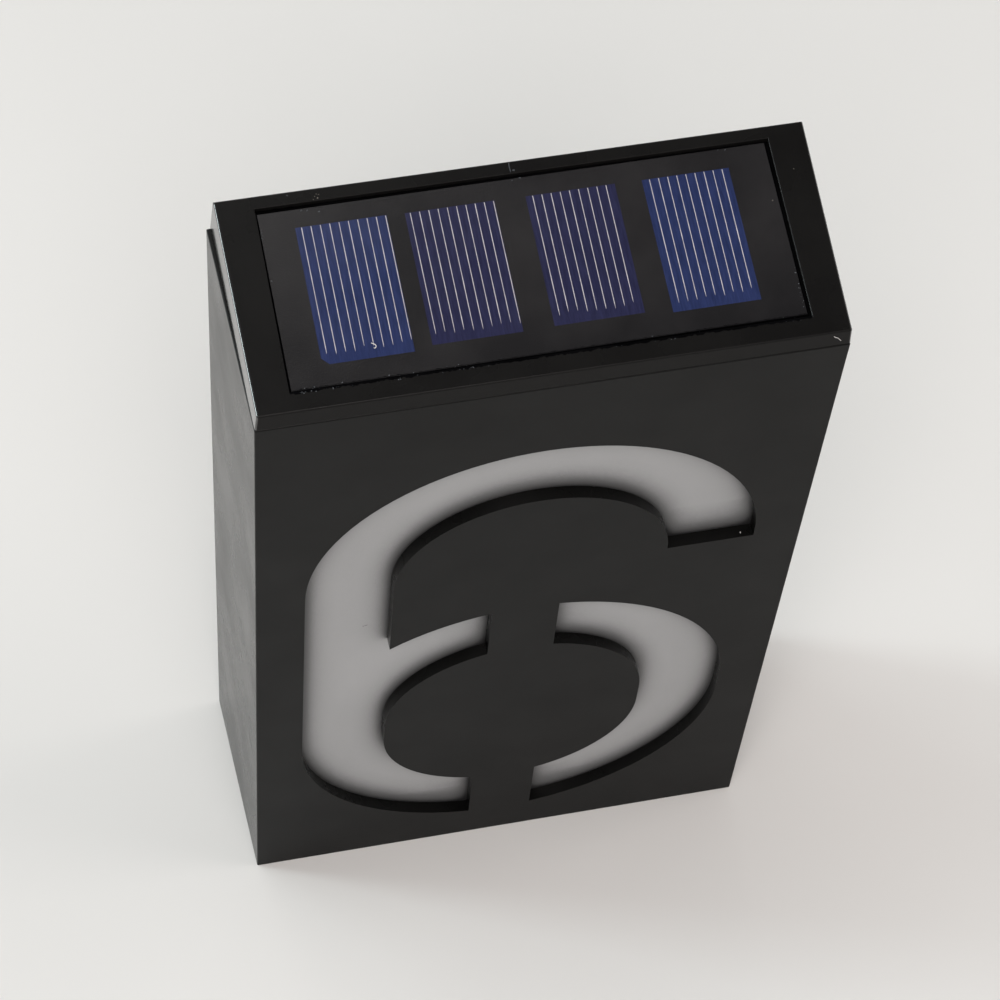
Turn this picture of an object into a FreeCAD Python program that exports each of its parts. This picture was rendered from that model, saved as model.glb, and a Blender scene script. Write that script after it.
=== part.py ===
import FreeCAD, Part
import math
import os
import re
import Sketcher

# Solar house-number light box: a drafted shell whose front wall is cut right
# through with a stencil 6, an opal sheet behind the cut, a white reflector
# tray behind the sheet, and a solar head that lifts out of the top.
#
# Millimetres and degrees.  X runs to the viewer's right, Y from the front
# face to the wall, Z up.  Depths are measured back from the front face and
# heights up from the lower edge of the front face; place() then moves every
# piece so that the origin is under the middle of the box, at its lowest edge.

SIZES = {
    # shell
    "front_width": 125.0,
    "front_height": 219.6,
    "body_depth": 48.8,
    "draft_angle": 2.05,
    "front_wall": 3.0,
    "side_wall": 3.0,
    "edge_round": 0.4,
    # stencil numeral
    "numeral_margin": 11.1,
    "stroke_width": 20.0,
    "arch_drop": 77.2,
    "arch_step": 1.6,
    "bowl_upper_centre": 71.1,
    "bowl_lower_centre": 63.7,
    "bridge_width": 15.8,
    # opal sheet and its locating rib
    "diffuser_margin": 2.2,
    "diffuser_thickness": 2.0,
    "diffuser_corner": 1.5,
    "diffuser_gap": 0.25,
    "locating_rib_width": 1.2,
    "locating_rib_height": 1.8,
    # reflector tray
    "liner_wall": 1.2,
    "liner_margin": 0.4,
    "liner_stand_off": 5.4,
    "liner_bend": 18.0,
    "liner_rib_spacing": 60.0,
    "liner_rib_width": 2.0,
    "liner_rib_front": 9.0,
    "liner_rib_back": 24.0,
    # back cover, its seal and its screws
    "cover_thickness": 2.4,
    "cover_gap": 0.25,
    "rim_lip": 1.3,
    "cover_seal_thickness": 0.8,
    "cover_seal_width": 1.1,
    "cover_rib_height": 2.0,
    "cover_rib_width": 1.6,
    "cover_rib_spacing": 40.0,
    "cover_rib_margin": 16.0,
    "cover_pad_radius": 3.0,
    "cover_pad_spacing": 84.0,
    "cover_pad_low": 40.0,
    "cover_pad_high": 125.0,
    "boss_inset": 4.4,
    "boss_radius": 3.2,
    "pilot_radius": 1.2,
    "pilot_depth": 12.0,
    "pilot_spare": 0.5,
    "cover_hole_radius": 1.6,
    "counterbore_radius": 3.2,
    "counterbore_depth": 1.5,
    "cover_screw_length": 10.0,
    "thread_gap": 0.05,
    "screw_head_radius": 2.7,
    "screw_head_height": 1.4,
    # keyholes for two wall screws
    "keyhole_spacing": 70.0,
    "keyhole_height": 150.0,
    "keyhole_radius": 4.25,
    "keyhole_slot": 4.4,
    "keyhole_rise": 8.0,
    "shroud_wall": 1.2,
    "shroud_margin": 2.0,
    "shroud_height": 4.6,
    # lid of the solar head
    "lid_front_step": 0.05,
    "lid_back_step": 0.8,
    "lid_front_height": 5.5,
    "lid_slope": 7.19,
    "lid_lean": 4.2,
    "lid_ceiling": 2.0,
    "lid_edge_round": 0.5,
    "seam_gap": 0.4,
    "seam_depth": 0.8,
    "head_seal_inset": 1.5,
    "head_seal_width": 2.0,
    "head_seal_thickness": 1.0,
    # recess and solar panel, measured up the slope from the lid's front edge
    "recess_margin": 7.9,
    "recess_back": 3.05,
    "recess_front": 4.3,
    "recess_shift": -0.05,
    "recess_depth": 1.6,
    "recess_edge_round": 0.2,
    "panel_side_gap": 0.65,
    "panel_front_gap": 0.675,
    "panel_back_gap": 1.0,
    "panel_shift": -0.25,
    "panel_turn": 0.25,
    "panel_thickness": 1.2,
    "sealant_height": 0.8,
    "sealant_gap": 0.05,
    "cell_thickness": 0.2,
    "cell_clip": 1.5,
    # each cell's left and front edge from the panel's centre, then its width and length
    "solar_cell_1_left": -46.7,
    "solar_cell_1_front": -15.38,
    "solar_cell_1_width": 19.1,
    "solar_cell_1_length": 31.3,
    "solar_cell_2_left": -23.8,
    "solar_cell_2_front": -14.58,
    "solar_cell_2_width": 18.9,
    "solar_cell_2_length": 30.3,
    "solar_cell_3_left": 1.7,
    "solar_cell_3_front": -14.38,
    "solar_cell_3_width": 19.0,
    "solar_cell_3_length": 30.0,
    "solar_cell_4_left": 26.5,
    "solar_cell_4_front": -15.28,
    "solar_cell_4_width": 18.7,
    "solar_cell_4_length": 30.8,
    # tray under the lid
    "tray_side_gap": 10.5,
    "tray_back_gap": 6.8,
    "tray_front": 7.0,
    "tray_gap": 0.5,
    "tray_wall": 2.0,
    "tray_floor": 2.0,
    "tray_depth": 19.6,
    "tray_post_inset": 3.5,
    "tray_post_radius": 4.2,
    "tray_screw_seat": 5.0,
    "tray_screw_length": 9.0,
    "tray_screw_clearance": 1.5,
    # battery and its compartment
    "battery_diameter": 14.5,
    "battery_length": 50.5,
    "nub_diameter": 5.5,
    "nub_length": 1.0,
    "battery_lift": 0.3,
    "post_bite": 0.2,
    "compartment_wall": 1.5,
    "compartment_gap": 0.35,
    "compartment_height": 11.0,
    "spring_room": 3.6,
    "contact_thickness": 0.4,
    "contact_width": 9.0,
    "contact_tab": 1.5,
    # sliding battery door, held by hooks on both sides
    "door_thickness": 1.6,
    "door_gap": 0.1,
    "door_lap": 1.2,
    "door_grip_height": 0.6,
    "door_grip_width": 1.0,
    "door_grip_pitch": 2.5,
    "tab_length": 6.5,
    "tab_width": 1.2,
    "tab_thickness": 0.9,
    "tab_pitch": 19.0,
    "tab_start": 3.0,
    "hook_gap": 0.15,
    "hook_wall": 1.2,
    "hook_foot": 1.0,
    "hook_stop": 1.0,
    "hook_margin": 0.15,
    # circuit board, lamps and parts on it
    "board_end_gap": 2.3,
    "board_near_gap": 1.0,
    "board_far_gap": 0.6,
    "board_thickness": 1.6,
    "board_height": 8.0,
    "board_post_radius": 2.4,
    "small_screw_radius": 0.8,
    "small_head_radius": 1.7,
    "small_head_height": 1.0,
    "board_screw_length": 6.0,
    "led_end": 4.0,
    "led_radius": 2.45,
    "led_flange_radius": 2.85,
    "led_flange": 0.8,
    "led_length": 8.0,
    "led_tip": 1.2,
    "led_tip_taper": 40.0,
    "led_stand": 2.2,
    "led_hole_gap": 0.15,
    "led_leg": 0.5,
    "led_leg_pitch": 2.54,
    "inductor_radius": 3.0,
    "inductor_height": 5.0,
    "inductor_place": 0.0,
    "capacitor_radius": 2.5,
    "capacitor_height": 7.0,
    "capacitor_place": 12.0,
    "component_edge": 3.6,
    "chip_length": 5.0,
    "chip_width": 4.0,
    "chip_height": 1.6,
    "chip_place": -13.0,
    # slide switch
    "switch_reach": 8.5,
    "switch_axis_depth": 20.5,
    "switch_length": 9.0,
    "switch_width": 5.6,
    "switch_height": 5.0,
    "ear_length": 3.8,
    "ear_thickness": 0.6,
    "switch_screw_length": 2.0,
    "slider_length": 3.2,
    "slider_width": 2.6,
    "slider_flange": 0.7,
    "slider_flange_height": 1.5,
    "slider_travel": 3.0,
    "slider_gap": 0.08,
    "slider_stand": 1.6,
    # leads
    "lead_radius": 0.5,
    "lead_hole_radius": 1.6,
    "lead_hole_depth": 24.0,
    "panel_lead_spacing": 12.0,
    "lead_landing": 1.9,
    "lead_arch": 5.5,
    "lead_clearance": 0.1,
    "switch_lead_spacing": 4.0,
    "switch_lead_shift": 5.0,
    "minus_landing": -33.0,
    "plus_landing": 18.0,
}

# sizes that follow from the ones above, so that neighbours keep their clearances
RULES = {
    "numeral_radius": "front_width / 2 - numeral_margin",
    "arch_outer_centre": "front_height - arch_drop",
    "arch_inner_centre": "arch_outer_centre - arch_step",
    "liner_back": "body_depth - cover_thickness - liner_stand_off",
    "lid_front_width": "front_width - 2 * lid_front_step",
    "lid_back_width": "front_width + 2 * body_depth * tan(draft_angle) - 2 * lid_back_step",
    "recess_width": "lid_front_width - 2 * recess_margin",
    "recess_length": "body_depth / cos(lid_slope) - recess_front - recess_back",
    "panel_width": "recess_width - 2 * panel_side_gap",
    "panel_length": "recess_length - panel_front_gap - panel_back_gap",
    "tray_length": "front_width - 2 * tray_side_gap",
    "tray_width": "body_depth - tray_front - tray_back_gap",
    "tray_underside": "front_height - tray_depth",
    "post_reach": "tray_length / 2 - tray_wall - tray_post_inset",
    "half_bay": "battery_diameter / 2 + compartment_gap",
    "half_door": "half_bay + door_lap",
    "half_tabs": "half_door + tab_width",
    "battery_axis_depth": "tray_front + half_tabs + hook_gap + hook_wall + hook_margin",
    "compartment_left": "tray_post_radius - post_bite - post_reach",
    "board_near": "battery_axis_depth + half_bay + compartment_wall + board_near_gap",
    "board_far": "tray_front + tray_width - tray_wall - board_far_gap",
    "board_width": "board_far - board_near",
    "board_axis_depth": "(board_far + board_near) / 2",
    "board_length": "2 * (post_reach - tray_post_radius - board_end_gap)",
    "led_reach": "board_length / 2 - led_end",
    "led_pitch": "led_reach * 2 / 3",
    "board_post_spacing": "2 * led_pitch",
    "component_depth": "board_far - component_edge",
    "switch_place": "post_reach - switch_reach",
}
CELLS = ("solar_cell_1", "solar_cell_2", "solar_cell_3", "solar_cell_4")

doc = FreeCAD.newDocument("house_number_light")
sheet = doc.addObject("Spreadsheet::Sheet", "sizes")
for row, (alias, value) in enumerate(SIZES.items(), start=1):
    sheet.set("A%d" % row, alias)
    sheet.set("B%d" % row, str(value))
    sheet.setAlias("B%d" % row, alias)
doc.recompute()
for row, (alias, rule) in enumerate(RULES.items(), start=len(SIZES) + 1):
    sheet.set("A%d" % row, alias)
    sheet.set("B%d" % row, "=" + rule)
    sheet.setAlias("B%d" % row, alias)
doc.recompute()
ALIASES = set(SIZES) | set(RULES)
ANGLES = ("draft_angle", "lid_slope", "lid_lean", "panel_turn", "led_tip_taper")
nodes = []


# ------------------------------------------------------------------ helpers
def bound(text):
    """The expression with each size's name pointing at its cell of the sheet."""
    return re.sub(
        r"[a-z_][a-z_0-9]*",
        lambda word: "sizes." + word.group(0) if word.group(0) in ALIASES else word.group(0),
        text,
    )


def size(alias):
    return float(sheet.get(alias))


def number(text):
    """The present value of an expression, for the first guess of a sketch."""
    def value(word):
        alias = word.group(0)
        if alias in ANGLES:
            return "(%r)" % math.radians(size(alias))
        return "(%r)" % size(alias) if alias in ALIASES else alias

    return FreeCAD.Units.Quantity(re.sub(r"[a-z_][a-z_0-9]*", value, text)).Value


RISE = "body_depth * tan(draft_angle)"
HOME = "placement(vector(0; -body_depth / 2; %s); rotationx(0))" % RISE


def place(piece):
    piece.setExpression("Placement", bound(HOME))


def new_body(label, compound=False):
    body = doc.addObject("PartDesign::Body", label)
    body.Label = label
    body.AllowCompound = compound
    place(body)
    nodes.append(body)
    return body


PLANES = {"front": "XZ_Plane", "top": "XY_Plane", "side": "YZ_Plane"}
NORMALS = {"XZ_Plane": -1, "XY_Plane": 1, "YZ_Plane": 1}
# where a sketch's own axes lie: x, y and z of its offset for a point (X, Y, Z)
OFFSETS = {"front": "{0}; {2}; -({1})", "top": "{0}; {1}; {2}", "side": "{1}; {2}; {0}"}


def new_sketch(body, name, facing, at=("0", "0", "0"), placing=None):
    """A sketch on one of the body's origin planes, moved to a point or by a whole placement."""
    sketch = body.newObject("Sketcher::SketchObject", name)
    plane = next(f for f in body.Origin.OriginFeatures if f.Role == PLANES[facing])
    sketch.AttachmentSupport = [(plane, "")]
    sketch.MapMode = "FlatFace"
    offset = placing or "placement(vector(%s); rotationx(0))" % OFFSETS[facing].format(*at)
    sketch.setExpression("AttachmentOffset", bound(offset))
    return sketch


def fix(sketch, geometry, point, x, y):
    """Bind a point of the sketch to its distances from the sketch's origin."""
    for kind, text in (("DistanceX", x), ("DistanceY", y)):
        if text is not None:
            rule = Sketcher.Constraint(kind, -1, 1, geometry, point, number(text))
            sketch.setExpression("Constraints[%d]" % sketch.addConstraint(rule), bound(text))


def outline(sketch, corners):
    """A closed outline; a corner is (x, y), or (x, y, (centre x, centre y, turn)) where an arc
    leaves it, anticlockwise for turn 1 and clockwise for turn -1."""
    first = sketch.GeometryCount
    count = len(corners)
    places = [FreeCAD.Vector(number(corner[0]), number(corner[1]), 0) for corner in corners]
    ends = []
    for i, corner in enumerate(corners):
        here = places[i]
        there = places[(i + 1) % count]
        if len(corner) == 2:
            sketch.addGeometry(Part.LineSegment(here, there), False)
            ends.append((1, 2))
            continue
        centre = FreeCAD.Vector(number(corner[2][0]), number(corner[2][1]), 0)
        forward = corner[2][2] > 0
        start, stop = [
            math.atan2(point.y - centre.y, point.x - centre.x)
            for point in ((here, there) if forward else (there, here))
        ]
        if stop <= start:
            stop += 2 * math.pi
        ring = Part.Circle(centre, FreeCAD.Vector(0, 0, 1), (here - centre).Length)
        sketch.addGeometry(Part.ArcOfCircle(ring, start, stop), False)
        ends.append((1, 2) if forward else (2, 1))
    for i, corner in enumerate(corners):
        after = (i + 1) % count
        joint = (first + i, ends[i][1], first + after, ends[after][0])
        sketch.addConstraint(Sketcher.Constraint("Coincident", *joint))
        fix(sketch, first + i, ends[i][0], corner[0], corner[1])
        if len(corner) == 3:
            fix(sketch, first + i, 3, None, corner[2][1])


def rectangle(sketch, left, right, low, high):
    outline(sketch, ((left, low), (right, low), (right, high), (left, high)))


def block(sketch, x, y, length, width):
    """A rectangle about a middle point."""
    rectangle(
        sketch,
        "%s - (%s) / 2" % (x, length), "%s + (%s) / 2" % (x, length),
        "%s - (%s) / 2" % (y, width), "%s + (%s) / 2" % (y, width),
    )


def circle(sketch, x, y, radius):
    centre = FreeCAD.Vector(number(x), number(y), 0)
    ring = Part.Circle(centre, FreeCAD.Vector(0, 0, 1), number(radius))
    index = sketch.addGeometry(ring, False)
    fix(sketch, index, 3, x, y)
    row = sketch.addConstraint(Sketcher.Constraint("Radius", index, number(radius)))
    sketch.setExpression("Constraints[%d]" % row, bound(radius))


def facets(sketch, x, y, radius, sides=8, inside=False):
    """A round of flat sides for what stays out of sight; its flats touch the circle, or its
    corners lie on it when it is to stay inside."""
    corner = 1 if inside else 1 / math.cos(math.pi / sides)
    turns = [2 * math.pi * (step + 0.5) / sides for step in range(sides)]
    outline(sketch, [
        (
            "%s %+.6f * (%s)" % (x, corner * math.cos(turn), radius),
            "%s %+.6f * (%s)" % (y, corner * math.sin(turn), radius),
        )
        for turn in turns
    ])


def extrude(kind, sketch, length, direction=1, taper=None):
    """Pad or Pocket a sketch along its axis (1), against it (-1) or both ways (0)."""
    body = sketch.getParentGeoFeatureGroup()
    solid = body.newObject("PartDesign::" + kind, "%s_%s" % (sketch.Name, kind.lower()))
    solid.Profile = sketch
    solid.setExpression("Length", bound(length))
    if direction == 0:
        solid.SideType = "Symmetric"
    else:
        along_normal = direction * NORMALS[sketch.AttachmentSupport[0][0].Role] > 0
        solid.Reversed = along_normal == (kind == "Pocket")
    if taper:
        solid.setExpression("TaperAngle", bound(taper))
    return solid


def pad(sketch, length, direction=1, taper=None):
    return extrude("Pad", sketch, length, direction, taper)


def pocket(sketch, length, direction=1, taper=None):
    return extrude("Pocket", sketch, length, direction, taper)


def repeat(body, features, axis, length, count, axis_2=None, length_2=None, count_2=1):
    """A row of copies, or a grid, along the body's origin axes over the whole lengths given."""
    row = body.newObject("PartDesign::LinearPattern", "%s_row" % features[0].Name)
    row.Originals = features
    row.Direction = (next(f for f in body.Origin.OriginFeatures if f.Role == axis), [""])
    row.setExpression("Length", bound(length))
    row.Occurrences = count
    if axis_2:
        row.Direction2 = (next(f for f in body.Origin.OriginFeatures if f.Role == axis_2), [""])
        row.setExpression("Length2", bound(length_2))
        row.Occurrences2 = count_2
    body.Tip = row
    return row


def edge_names(shape, wanted):
    return ["Edge%d" % i for i, edge in enumerate(shape.Edges, start=1) if wanted(edge)]


def dress(kind, base, wanted, amount):
    """Fillet or chamfer the edges of the last feature that pass the test."""
    body = base.getParentGeoFeatureGroup()
    doc.recompute()
    finish = body.newObject("PartDesign::" + kind, "%s_%s" % (base.Name, kind.lower()))
    finish.Base = (base, edge_names(base.Shape, wanted))
    finish.setExpression("Radius" if kind == "Fillet" else "Size", bound(amount))
    return finish


# --------------------------------------------------- shared places and outlines
HALF = "front_width / 2"
COVER_FACE = "body_depth - cover_thickness"
LEDGE = "body_depth - cover_thickness - cover_seal_thickness"
OUTER_AT_LEDGE = "(%s) * tan(draft_angle)" % LEDGE
REBATE = "(%s - rim_lip)" % OUTER_AT_LEDGE
COVER_REACH = "(%s - cover_gap)" % REBATE
NUMERAL_LOW = "bowl_lower_centre - numeral_radius"
NUMERAL_HIGH = "arch_outer_centre + numeral_radius"
INNER_RADIUS = "(numeral_radius - stroke_width)"
LINER_FLOOR = "%s - liner_margin - liner_wall" % NUMERAL_LOW
TRAY_BACK = "tray_front + tray_width"
FLOOR_TOP = "tray_underside + tray_floor"
LID_LOW = "front_height"
LID_HIGH = "front_height + lid_front_height"
FLARE = "(lid_back_width / 2 + %s * tan(lid_lean) - lid_front_width / 2)" % RISE
SHELL_TOP = "placement(vector(0; 0; front_height); rotationx(draft_angle))"
LID_TOP = "placement(vector(0; 0; front_height + lid_front_height); rotationx(lid_slope))"
RECESS_FLOOR = LID_TOP + " * placement(vector(0; 0; -recess_depth); rotationz(0))"
PANEL = LID_TOP + (
    " * placement(vector(recess_shift + panel_shift; recess_front + panel_front_gap + panel_length / 2; %s);"
    " rotationz(panel_turn))"
)
PANEL_LOW = PANEL % "-recess_depth"
PANEL_HIGH = PANEL % "panel_thickness - recess_depth"
BAY_LEFT = "compartment_left + compartment_wall"
BATTERY_LEFT = BAY_LEFT + " + spring_room"
BATTERY_RIGHT = BATTERY_LEFT + " + battery_length"
BAY_RIGHT = BATTERY_RIGHT + " + contact_thickness"
DOOR_LEFT = BAY_LEFT + " - door_lap"
DOOR_TOP = "tray_underside - door_gap"
BATTERY_HEIGHT = "tray_underside + battery_lift + battery_diameter / 2"
BOARD_LOW = "tray_underside + tray_floor + board_height"
BOARD_HIGH = BOARD_LOW + " + board_thickness"
LANDING = "board_near + lead_landing"


def shell_top_at(depth):
    return "front_height + (%s) * tan(draft_angle)" % depth


def lid_ceiling_at(depth):
    """Height of the lid's inner ceiling, which runs parallel to its top."""
    return "%s + (%s) * tan(lid_slope) - (recess_depth + lid_ceiling) / cos(lid_slope)" % (LID_HIGH, depth)


def cover_screw_places():
    """Both sides of the back cover, at the bottom, the middle and the top."""
    across = ("-(%s - boss_inset)" % HALF, "%s - boss_inset" % HALF)
    up = ("boss_inset", "front_height / 2", "front_height - boss_inset")
    return [(x, z) for x in across for z in up]


POST_NEAR = "tray_front + tray_wall + tray_post_inset"
POST_FAR = "tray_front + tray_width - tray_wall - tray_post_inset"


def tray_post_places():
    return [(x, y) for x in ("-post_reach", "post_reach") for y in (POST_NEAR, POST_FAR)]


def framed(sketch, grow):
    """The front's rectangle, grown by a named distance on every side."""
    rectangle(
        sketch,
        "-(%s + %s)" % (HALF, grow), "%s + %s" % (HALF, grow),
        "-(%s)" % grow, "front_height + " + grow,
    )


# -------------------------------------------------------------------- shell
def numeral(sketch):
    """The stencil 6: two strokes of one width, parted by the bridges that hold the counter."""
    outer, inner, gap = "numeral_radius", INNER_RADIUS, "bridge_width / 2"
    reach_outer = "sqrt(numeral_radius^2 - (bridge_width / 2)^2)"
    reach_inner = "sqrt(%s^2 - (bridge_width / 2)^2)" % INNER_RADIUS
    crotch = "sqrt(numeral_radius^2 - %s^2)" % INNER_RADIUS
    low, high = "bowl_lower_centre", "bowl_upper_centre"
    outline(sketch, (
        (inner, "arch_inner_centre"),
        (outer, "arch_inner_centre"),
        (outer, "arch_outer_centre", ("0", "arch_outer_centre", 1)),
        ("-numeral_radius", "arch_outer_centre"),
        ("-numeral_radius", low, ("0", low, 1)),
        ("-" + gap, "%s - %s" % (low, reach_outer)),
        ("-" + gap, "%s - %s" % (low, reach_inner), ("0", low, -1)),
        ("-" + inner, low),
        ("-" + inner, high, ("0", high, -1)),
        ("-" + gap, "%s + %s" % (high, reach_inner)),
        ("-" + gap, "%s + %s" % (high, reach_outer), ("0", high, 1)),
        ("-" + inner, "%s + %s" % (high, crotch)),
        ("-" + inner, "arch_inner_centre", ("0", "arch_inner_centre", -1)),
    ))
    outline(sketch, (
        (gap, "%s + %s" % (high, reach_outer), ("0", high, -1)),
        (outer, high),
        (outer, low, ("0", low, -1)),
        (gap, "%s - %s" % (low, reach_outer)),
        (gap, "%s - %s" % (low, reach_inner), ("0", low, 1)),
        (inner, low),
        (inner, high, ("0", high, 1)),
        (gap, "%s + %s" % (high, reach_inner)),
    ))


def sheet_outline(sketch, grow="0"):
    """The opal sheet's rectangle round the numeral, grown by a named distance."""
    margin = "(diffuser_margin + %s)" % grow
    rectangle(
        sketch,
        "-(numeral_radius + %s)" % margin, "numeral_radius + " + margin,
        "%s - %s" % (NUMERAL_LOW, margin), "%s + %s" % (NUMERAL_HIGH, margin),
    )


def body_shell():
    body = new_body("body_shell")
    plan = new_sketch(body, "shell_plan", "top", ("0", "0", "-body_depth"))
    outline(plan, (
        ("-" + HALF, "0"),
        (HALF, "0"),
        ("%s + %s" % (HALF, RISE), "body_depth"),
        ("-(%s + %s)" % (HALF, RISE), "body_depth"),
    ))
    pad(plan, "front_height + 2 * body_depth", 1)

    # the upper and lower walls have the same draft as the sides
    side = new_sketch(body, "shell_side", "side")
    rectangle(side, "-body_depth", "2 * body_depth", "-2 * body_depth", "front_height + 2 * body_depth")
    outline(side, (
        ("0", "0"),
        ("body_depth", "-(%s)" % RISE),
        ("body_depth", shell_top_at("body_depth")),
        ("0", "front_height"),
    ))
    box = pocket(side, "2 * front_width", 0)
    half_depth = size("body_depth") / 2
    dress("Fillet", box, lambda edge: edge.BoundBox.YMin < half_depth, "edge_round")

    # the cavity follows the draft, so the walls keep one thickness
    cavity = new_sketch(body, "cavity", "front", ("0", "front_wall", "0"))
    framed(cavity, "(front_wall * tan(draft_angle) - side_wall / cos(draft_angle))")
    pocket(cavity, "body_depth - front_wall", 1, "draft_angle")

    rebate = new_sketch(body, "cover_rebate", "front", ("0", LEDGE, "0"))
    framed(rebate, REBATE)
    pocket(rebate, "cover_thickness + cover_seal_thickness", 1)

    stencil = new_sketch(body, "numeral_cut", "front")
    numeral(stencil)
    pocket(stencil, "front_wall", 1)

    # the solar head's tray drops through this opening in the top wall
    opening = new_sketch(body, "head_opening", "top", ("0", "0", "front_height - 2 * side_wall"))
    rectangle(
        opening,
        "-(tray_length / 2 + tray_gap)", "tray_length / 2 + tray_gap",
        "tray_front - tray_gap", TRAY_BACK + " + tray_gap",
    )
    pocket(opening, "4 * side_wall", 1)

    # rib that locates the opal sheet
    rib = new_sketch(body, "locating_rib", "front", ("0", "front_wall", "0"))
    sheet_outline(rib, "diffuser_gap")
    sheet_outline(rib, "diffuser_gap + locating_rib_width")
    pad(rib, "locating_rib_height", 1)

    bosses = new_sketch(body, "screw_bosses", "front", ("0", "front_wall / 2", "0"))
    for x, z in cover_screw_places():
        facets(bosses, x, z, "boss_radius")
    pad(bosses, "%s - front_wall / 2" % COVER_FACE, 1)
    pilots = new_sketch(body, "pilot_holes", "front", ("0", COVER_FACE, "0"))
    for x, z in cover_screw_places():
        facets(pilots, x, z, "pilot_radius")
    pocket(pilots, "pilot_depth", -1)

    # two ribs on the bottom wall carry the reflector tray
    ribs = new_sketch(body, "liner_ribs", "top", ("0", "0", LINER_FLOOR))
    for x in ("-(liner_rib_spacing / 2)", "liner_rib_spacing / 2"):
        rectangle(
            ribs,
            x + " - liner_rib_width / 2", x + " + liner_rib_width / 2",
            "liner_rib_front", "liner_rib_back",
        )
    pad(ribs, "%s - side_wall / 2" % LINER_FLOOR, -1)


# -------------------------------------------------- opal sheet and reflector
def diffuser_sheet():
    body = new_body("diffuser_sheet")
    face = new_sketch(body, "opal_face", "front", ("0", "front_wall", "0"))
    sheet_outline(face)
    opal = pad(face, "diffuser_thickness", 1)
    dress("Fillet", opal, lambda edge: edge.BoundBox.YLength > edge.Length / 2, "diffuser_corner")


def reflector_liner():
    """White tray, open to the front and the top, with a bend that turns the light forward."""
    body = new_body("reflector_liner")
    front = "front_wall + diffuser_thickness"
    top = "%s + diffuser_margin" % NUMERAL_HIGH

    def profile(name, inset):
        back = "liner_back - " + inset
        floor = "%s + %s" % (LINER_FLOOR, inset)
        bend_back = "%s - (liner_bend - %s)" % (back, inset)
        bend_high = "%s + (liner_bend - %s)" % (floor, inset)
        shape = new_sketch(body, name, "side")
        outline(shape, (
            (front, floor),
            (bend_back, floor, (bend_back, bend_high, 1)),
            (back, bend_high),
            (back, top),
            (front, top),
        ))
        return shape

    pad(profile("liner_outside", "0"), "2 * (numeral_radius + liner_margin + liner_wall)", 0)
    pocket(profile("liner_inside", "liner_wall"), "2 * (numeral_radius + liner_margin)", 0)


# --------------------------------------------------------------- back cover
KEYHOLES = ("-(keyhole_spacing / 2)", "keyhole_spacing / 2")


def back_cover():
    body = new_body("back_cover")
    plate = new_sketch(body, "cover_plate", "front", ("0", COVER_FACE, "0"))
    framed(plate, COVER_REACH)
    pad(plate, "cover_thickness", 1)

    # stiffening ribs on the inner face
    uprights = new_sketch(body, "cover_uprights", "front", ("0", COVER_FACE, "0"))
    for x in ("-(cover_rib_spacing / 2)", "cover_rib_spacing / 2"):
        block(uprights, x, "front_height / 2", "cover_rib_width", "front_height - 2 * cover_rib_margin")
    pad(uprights, "cover_rib_height", -1)
    bars = new_sketch(body, "cover_bars", "front", ("0", COVER_FACE, "0"))
    for z in ("cover_rib_margin", "front_height / 2", "front_height - cover_rib_margin"):
        block(bars, "0", z, "front_width - 2 * cover_rib_margin", "cover_rib_width")
    pad(bars, "cover_rib_height", -1)

    # pads that hold the reflector tray against the opal sheet
    pads = new_sketch(body, "cover_pads", "front", ("0", COVER_FACE, "0"))
    for x in ("-(cover_pad_spacing / 2)", "cover_pad_spacing / 2"):
        for z in ("cover_pad_low", "cover_pad_high"):
            facets(pads, x, z, "cover_pad_radius")
    pad(pads, "%s - liner_back" % COVER_FACE, -1)

    # a shroud round each keyhole keeps the wall screw's head clear of the tray
    shroud = new_sketch(body, "keyhole_shroud", "front", ("0", COVER_FACE, "0"))
    for x in KEYHOLES:
        for grow in ("shroud_margin", "(shroud_margin + shroud_wall)"):
            rectangle(
                shroud,
                "%s - keyhole_radius - %s" % (x, grow), "%s + keyhole_radius + %s" % (x, grow),
                "keyhole_height - keyhole_radius - " + grow,
                "keyhole_height + keyhole_rise + keyhole_slot / 2 + " + grow,
            )
    pad(shroud, "shroud_height", -1)
    for name, radius, rise in (
        ("keyhole_round", "keyhole_radius", "0"),
        ("keyhole_seat", "keyhole_slot / 2", "keyhole_rise"),
    ):
        rounds = new_sketch(body, name, "front", ("0", "body_depth", "0"))
        for x in KEYHOLES:
            circle(rounds, x, "keyhole_height + " + rise, radius)
        pocket(rounds, "cover_thickness", -1)
    slots = new_sketch(body, "keyhole_slots", "front", ("0", "body_depth", "0"))
    for x in KEYHOLES:
        block(slots, x, "keyhole_height + keyhole_rise / 2", "keyhole_slot", "keyhole_rise")
    pocket(slots, "cover_thickness", -1)

    holes = new_sketch(body, "screw_holes", "front", ("0", "body_depth", "0"))
    seats = new_sketch(body, "counterbores", "front", ("0", "body_depth", "0"))
    for x, z in cover_screw_places():
        facets(holes, x, z, "cover_hole_radius")
        circle(seats, x, z, "counterbore_radius")
    pocket(holes, "cover_thickness", -1)
    pocket(seats, "counterbore_depth", -1)


def back_cover_seal():
    """Flat rubber ring between the shell's ledge and the cover."""
    body = new_body("back_cover_seal")
    ring = new_sketch(body, "cover_seal_ring", "front", ("0", LEDGE, "0"))
    framed(ring, COVER_REACH)
    framed(ring, "(%s - cover_seal_width)" % COVER_REACH)
    pad(ring, "cover_seal_thickness", 1)


SEAT_AXIS = {"front": 1, "top": 2}
SHANK_SIDES = 8
HEAD_SIDES = 24
DRIVE_SIDES = 6


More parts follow.
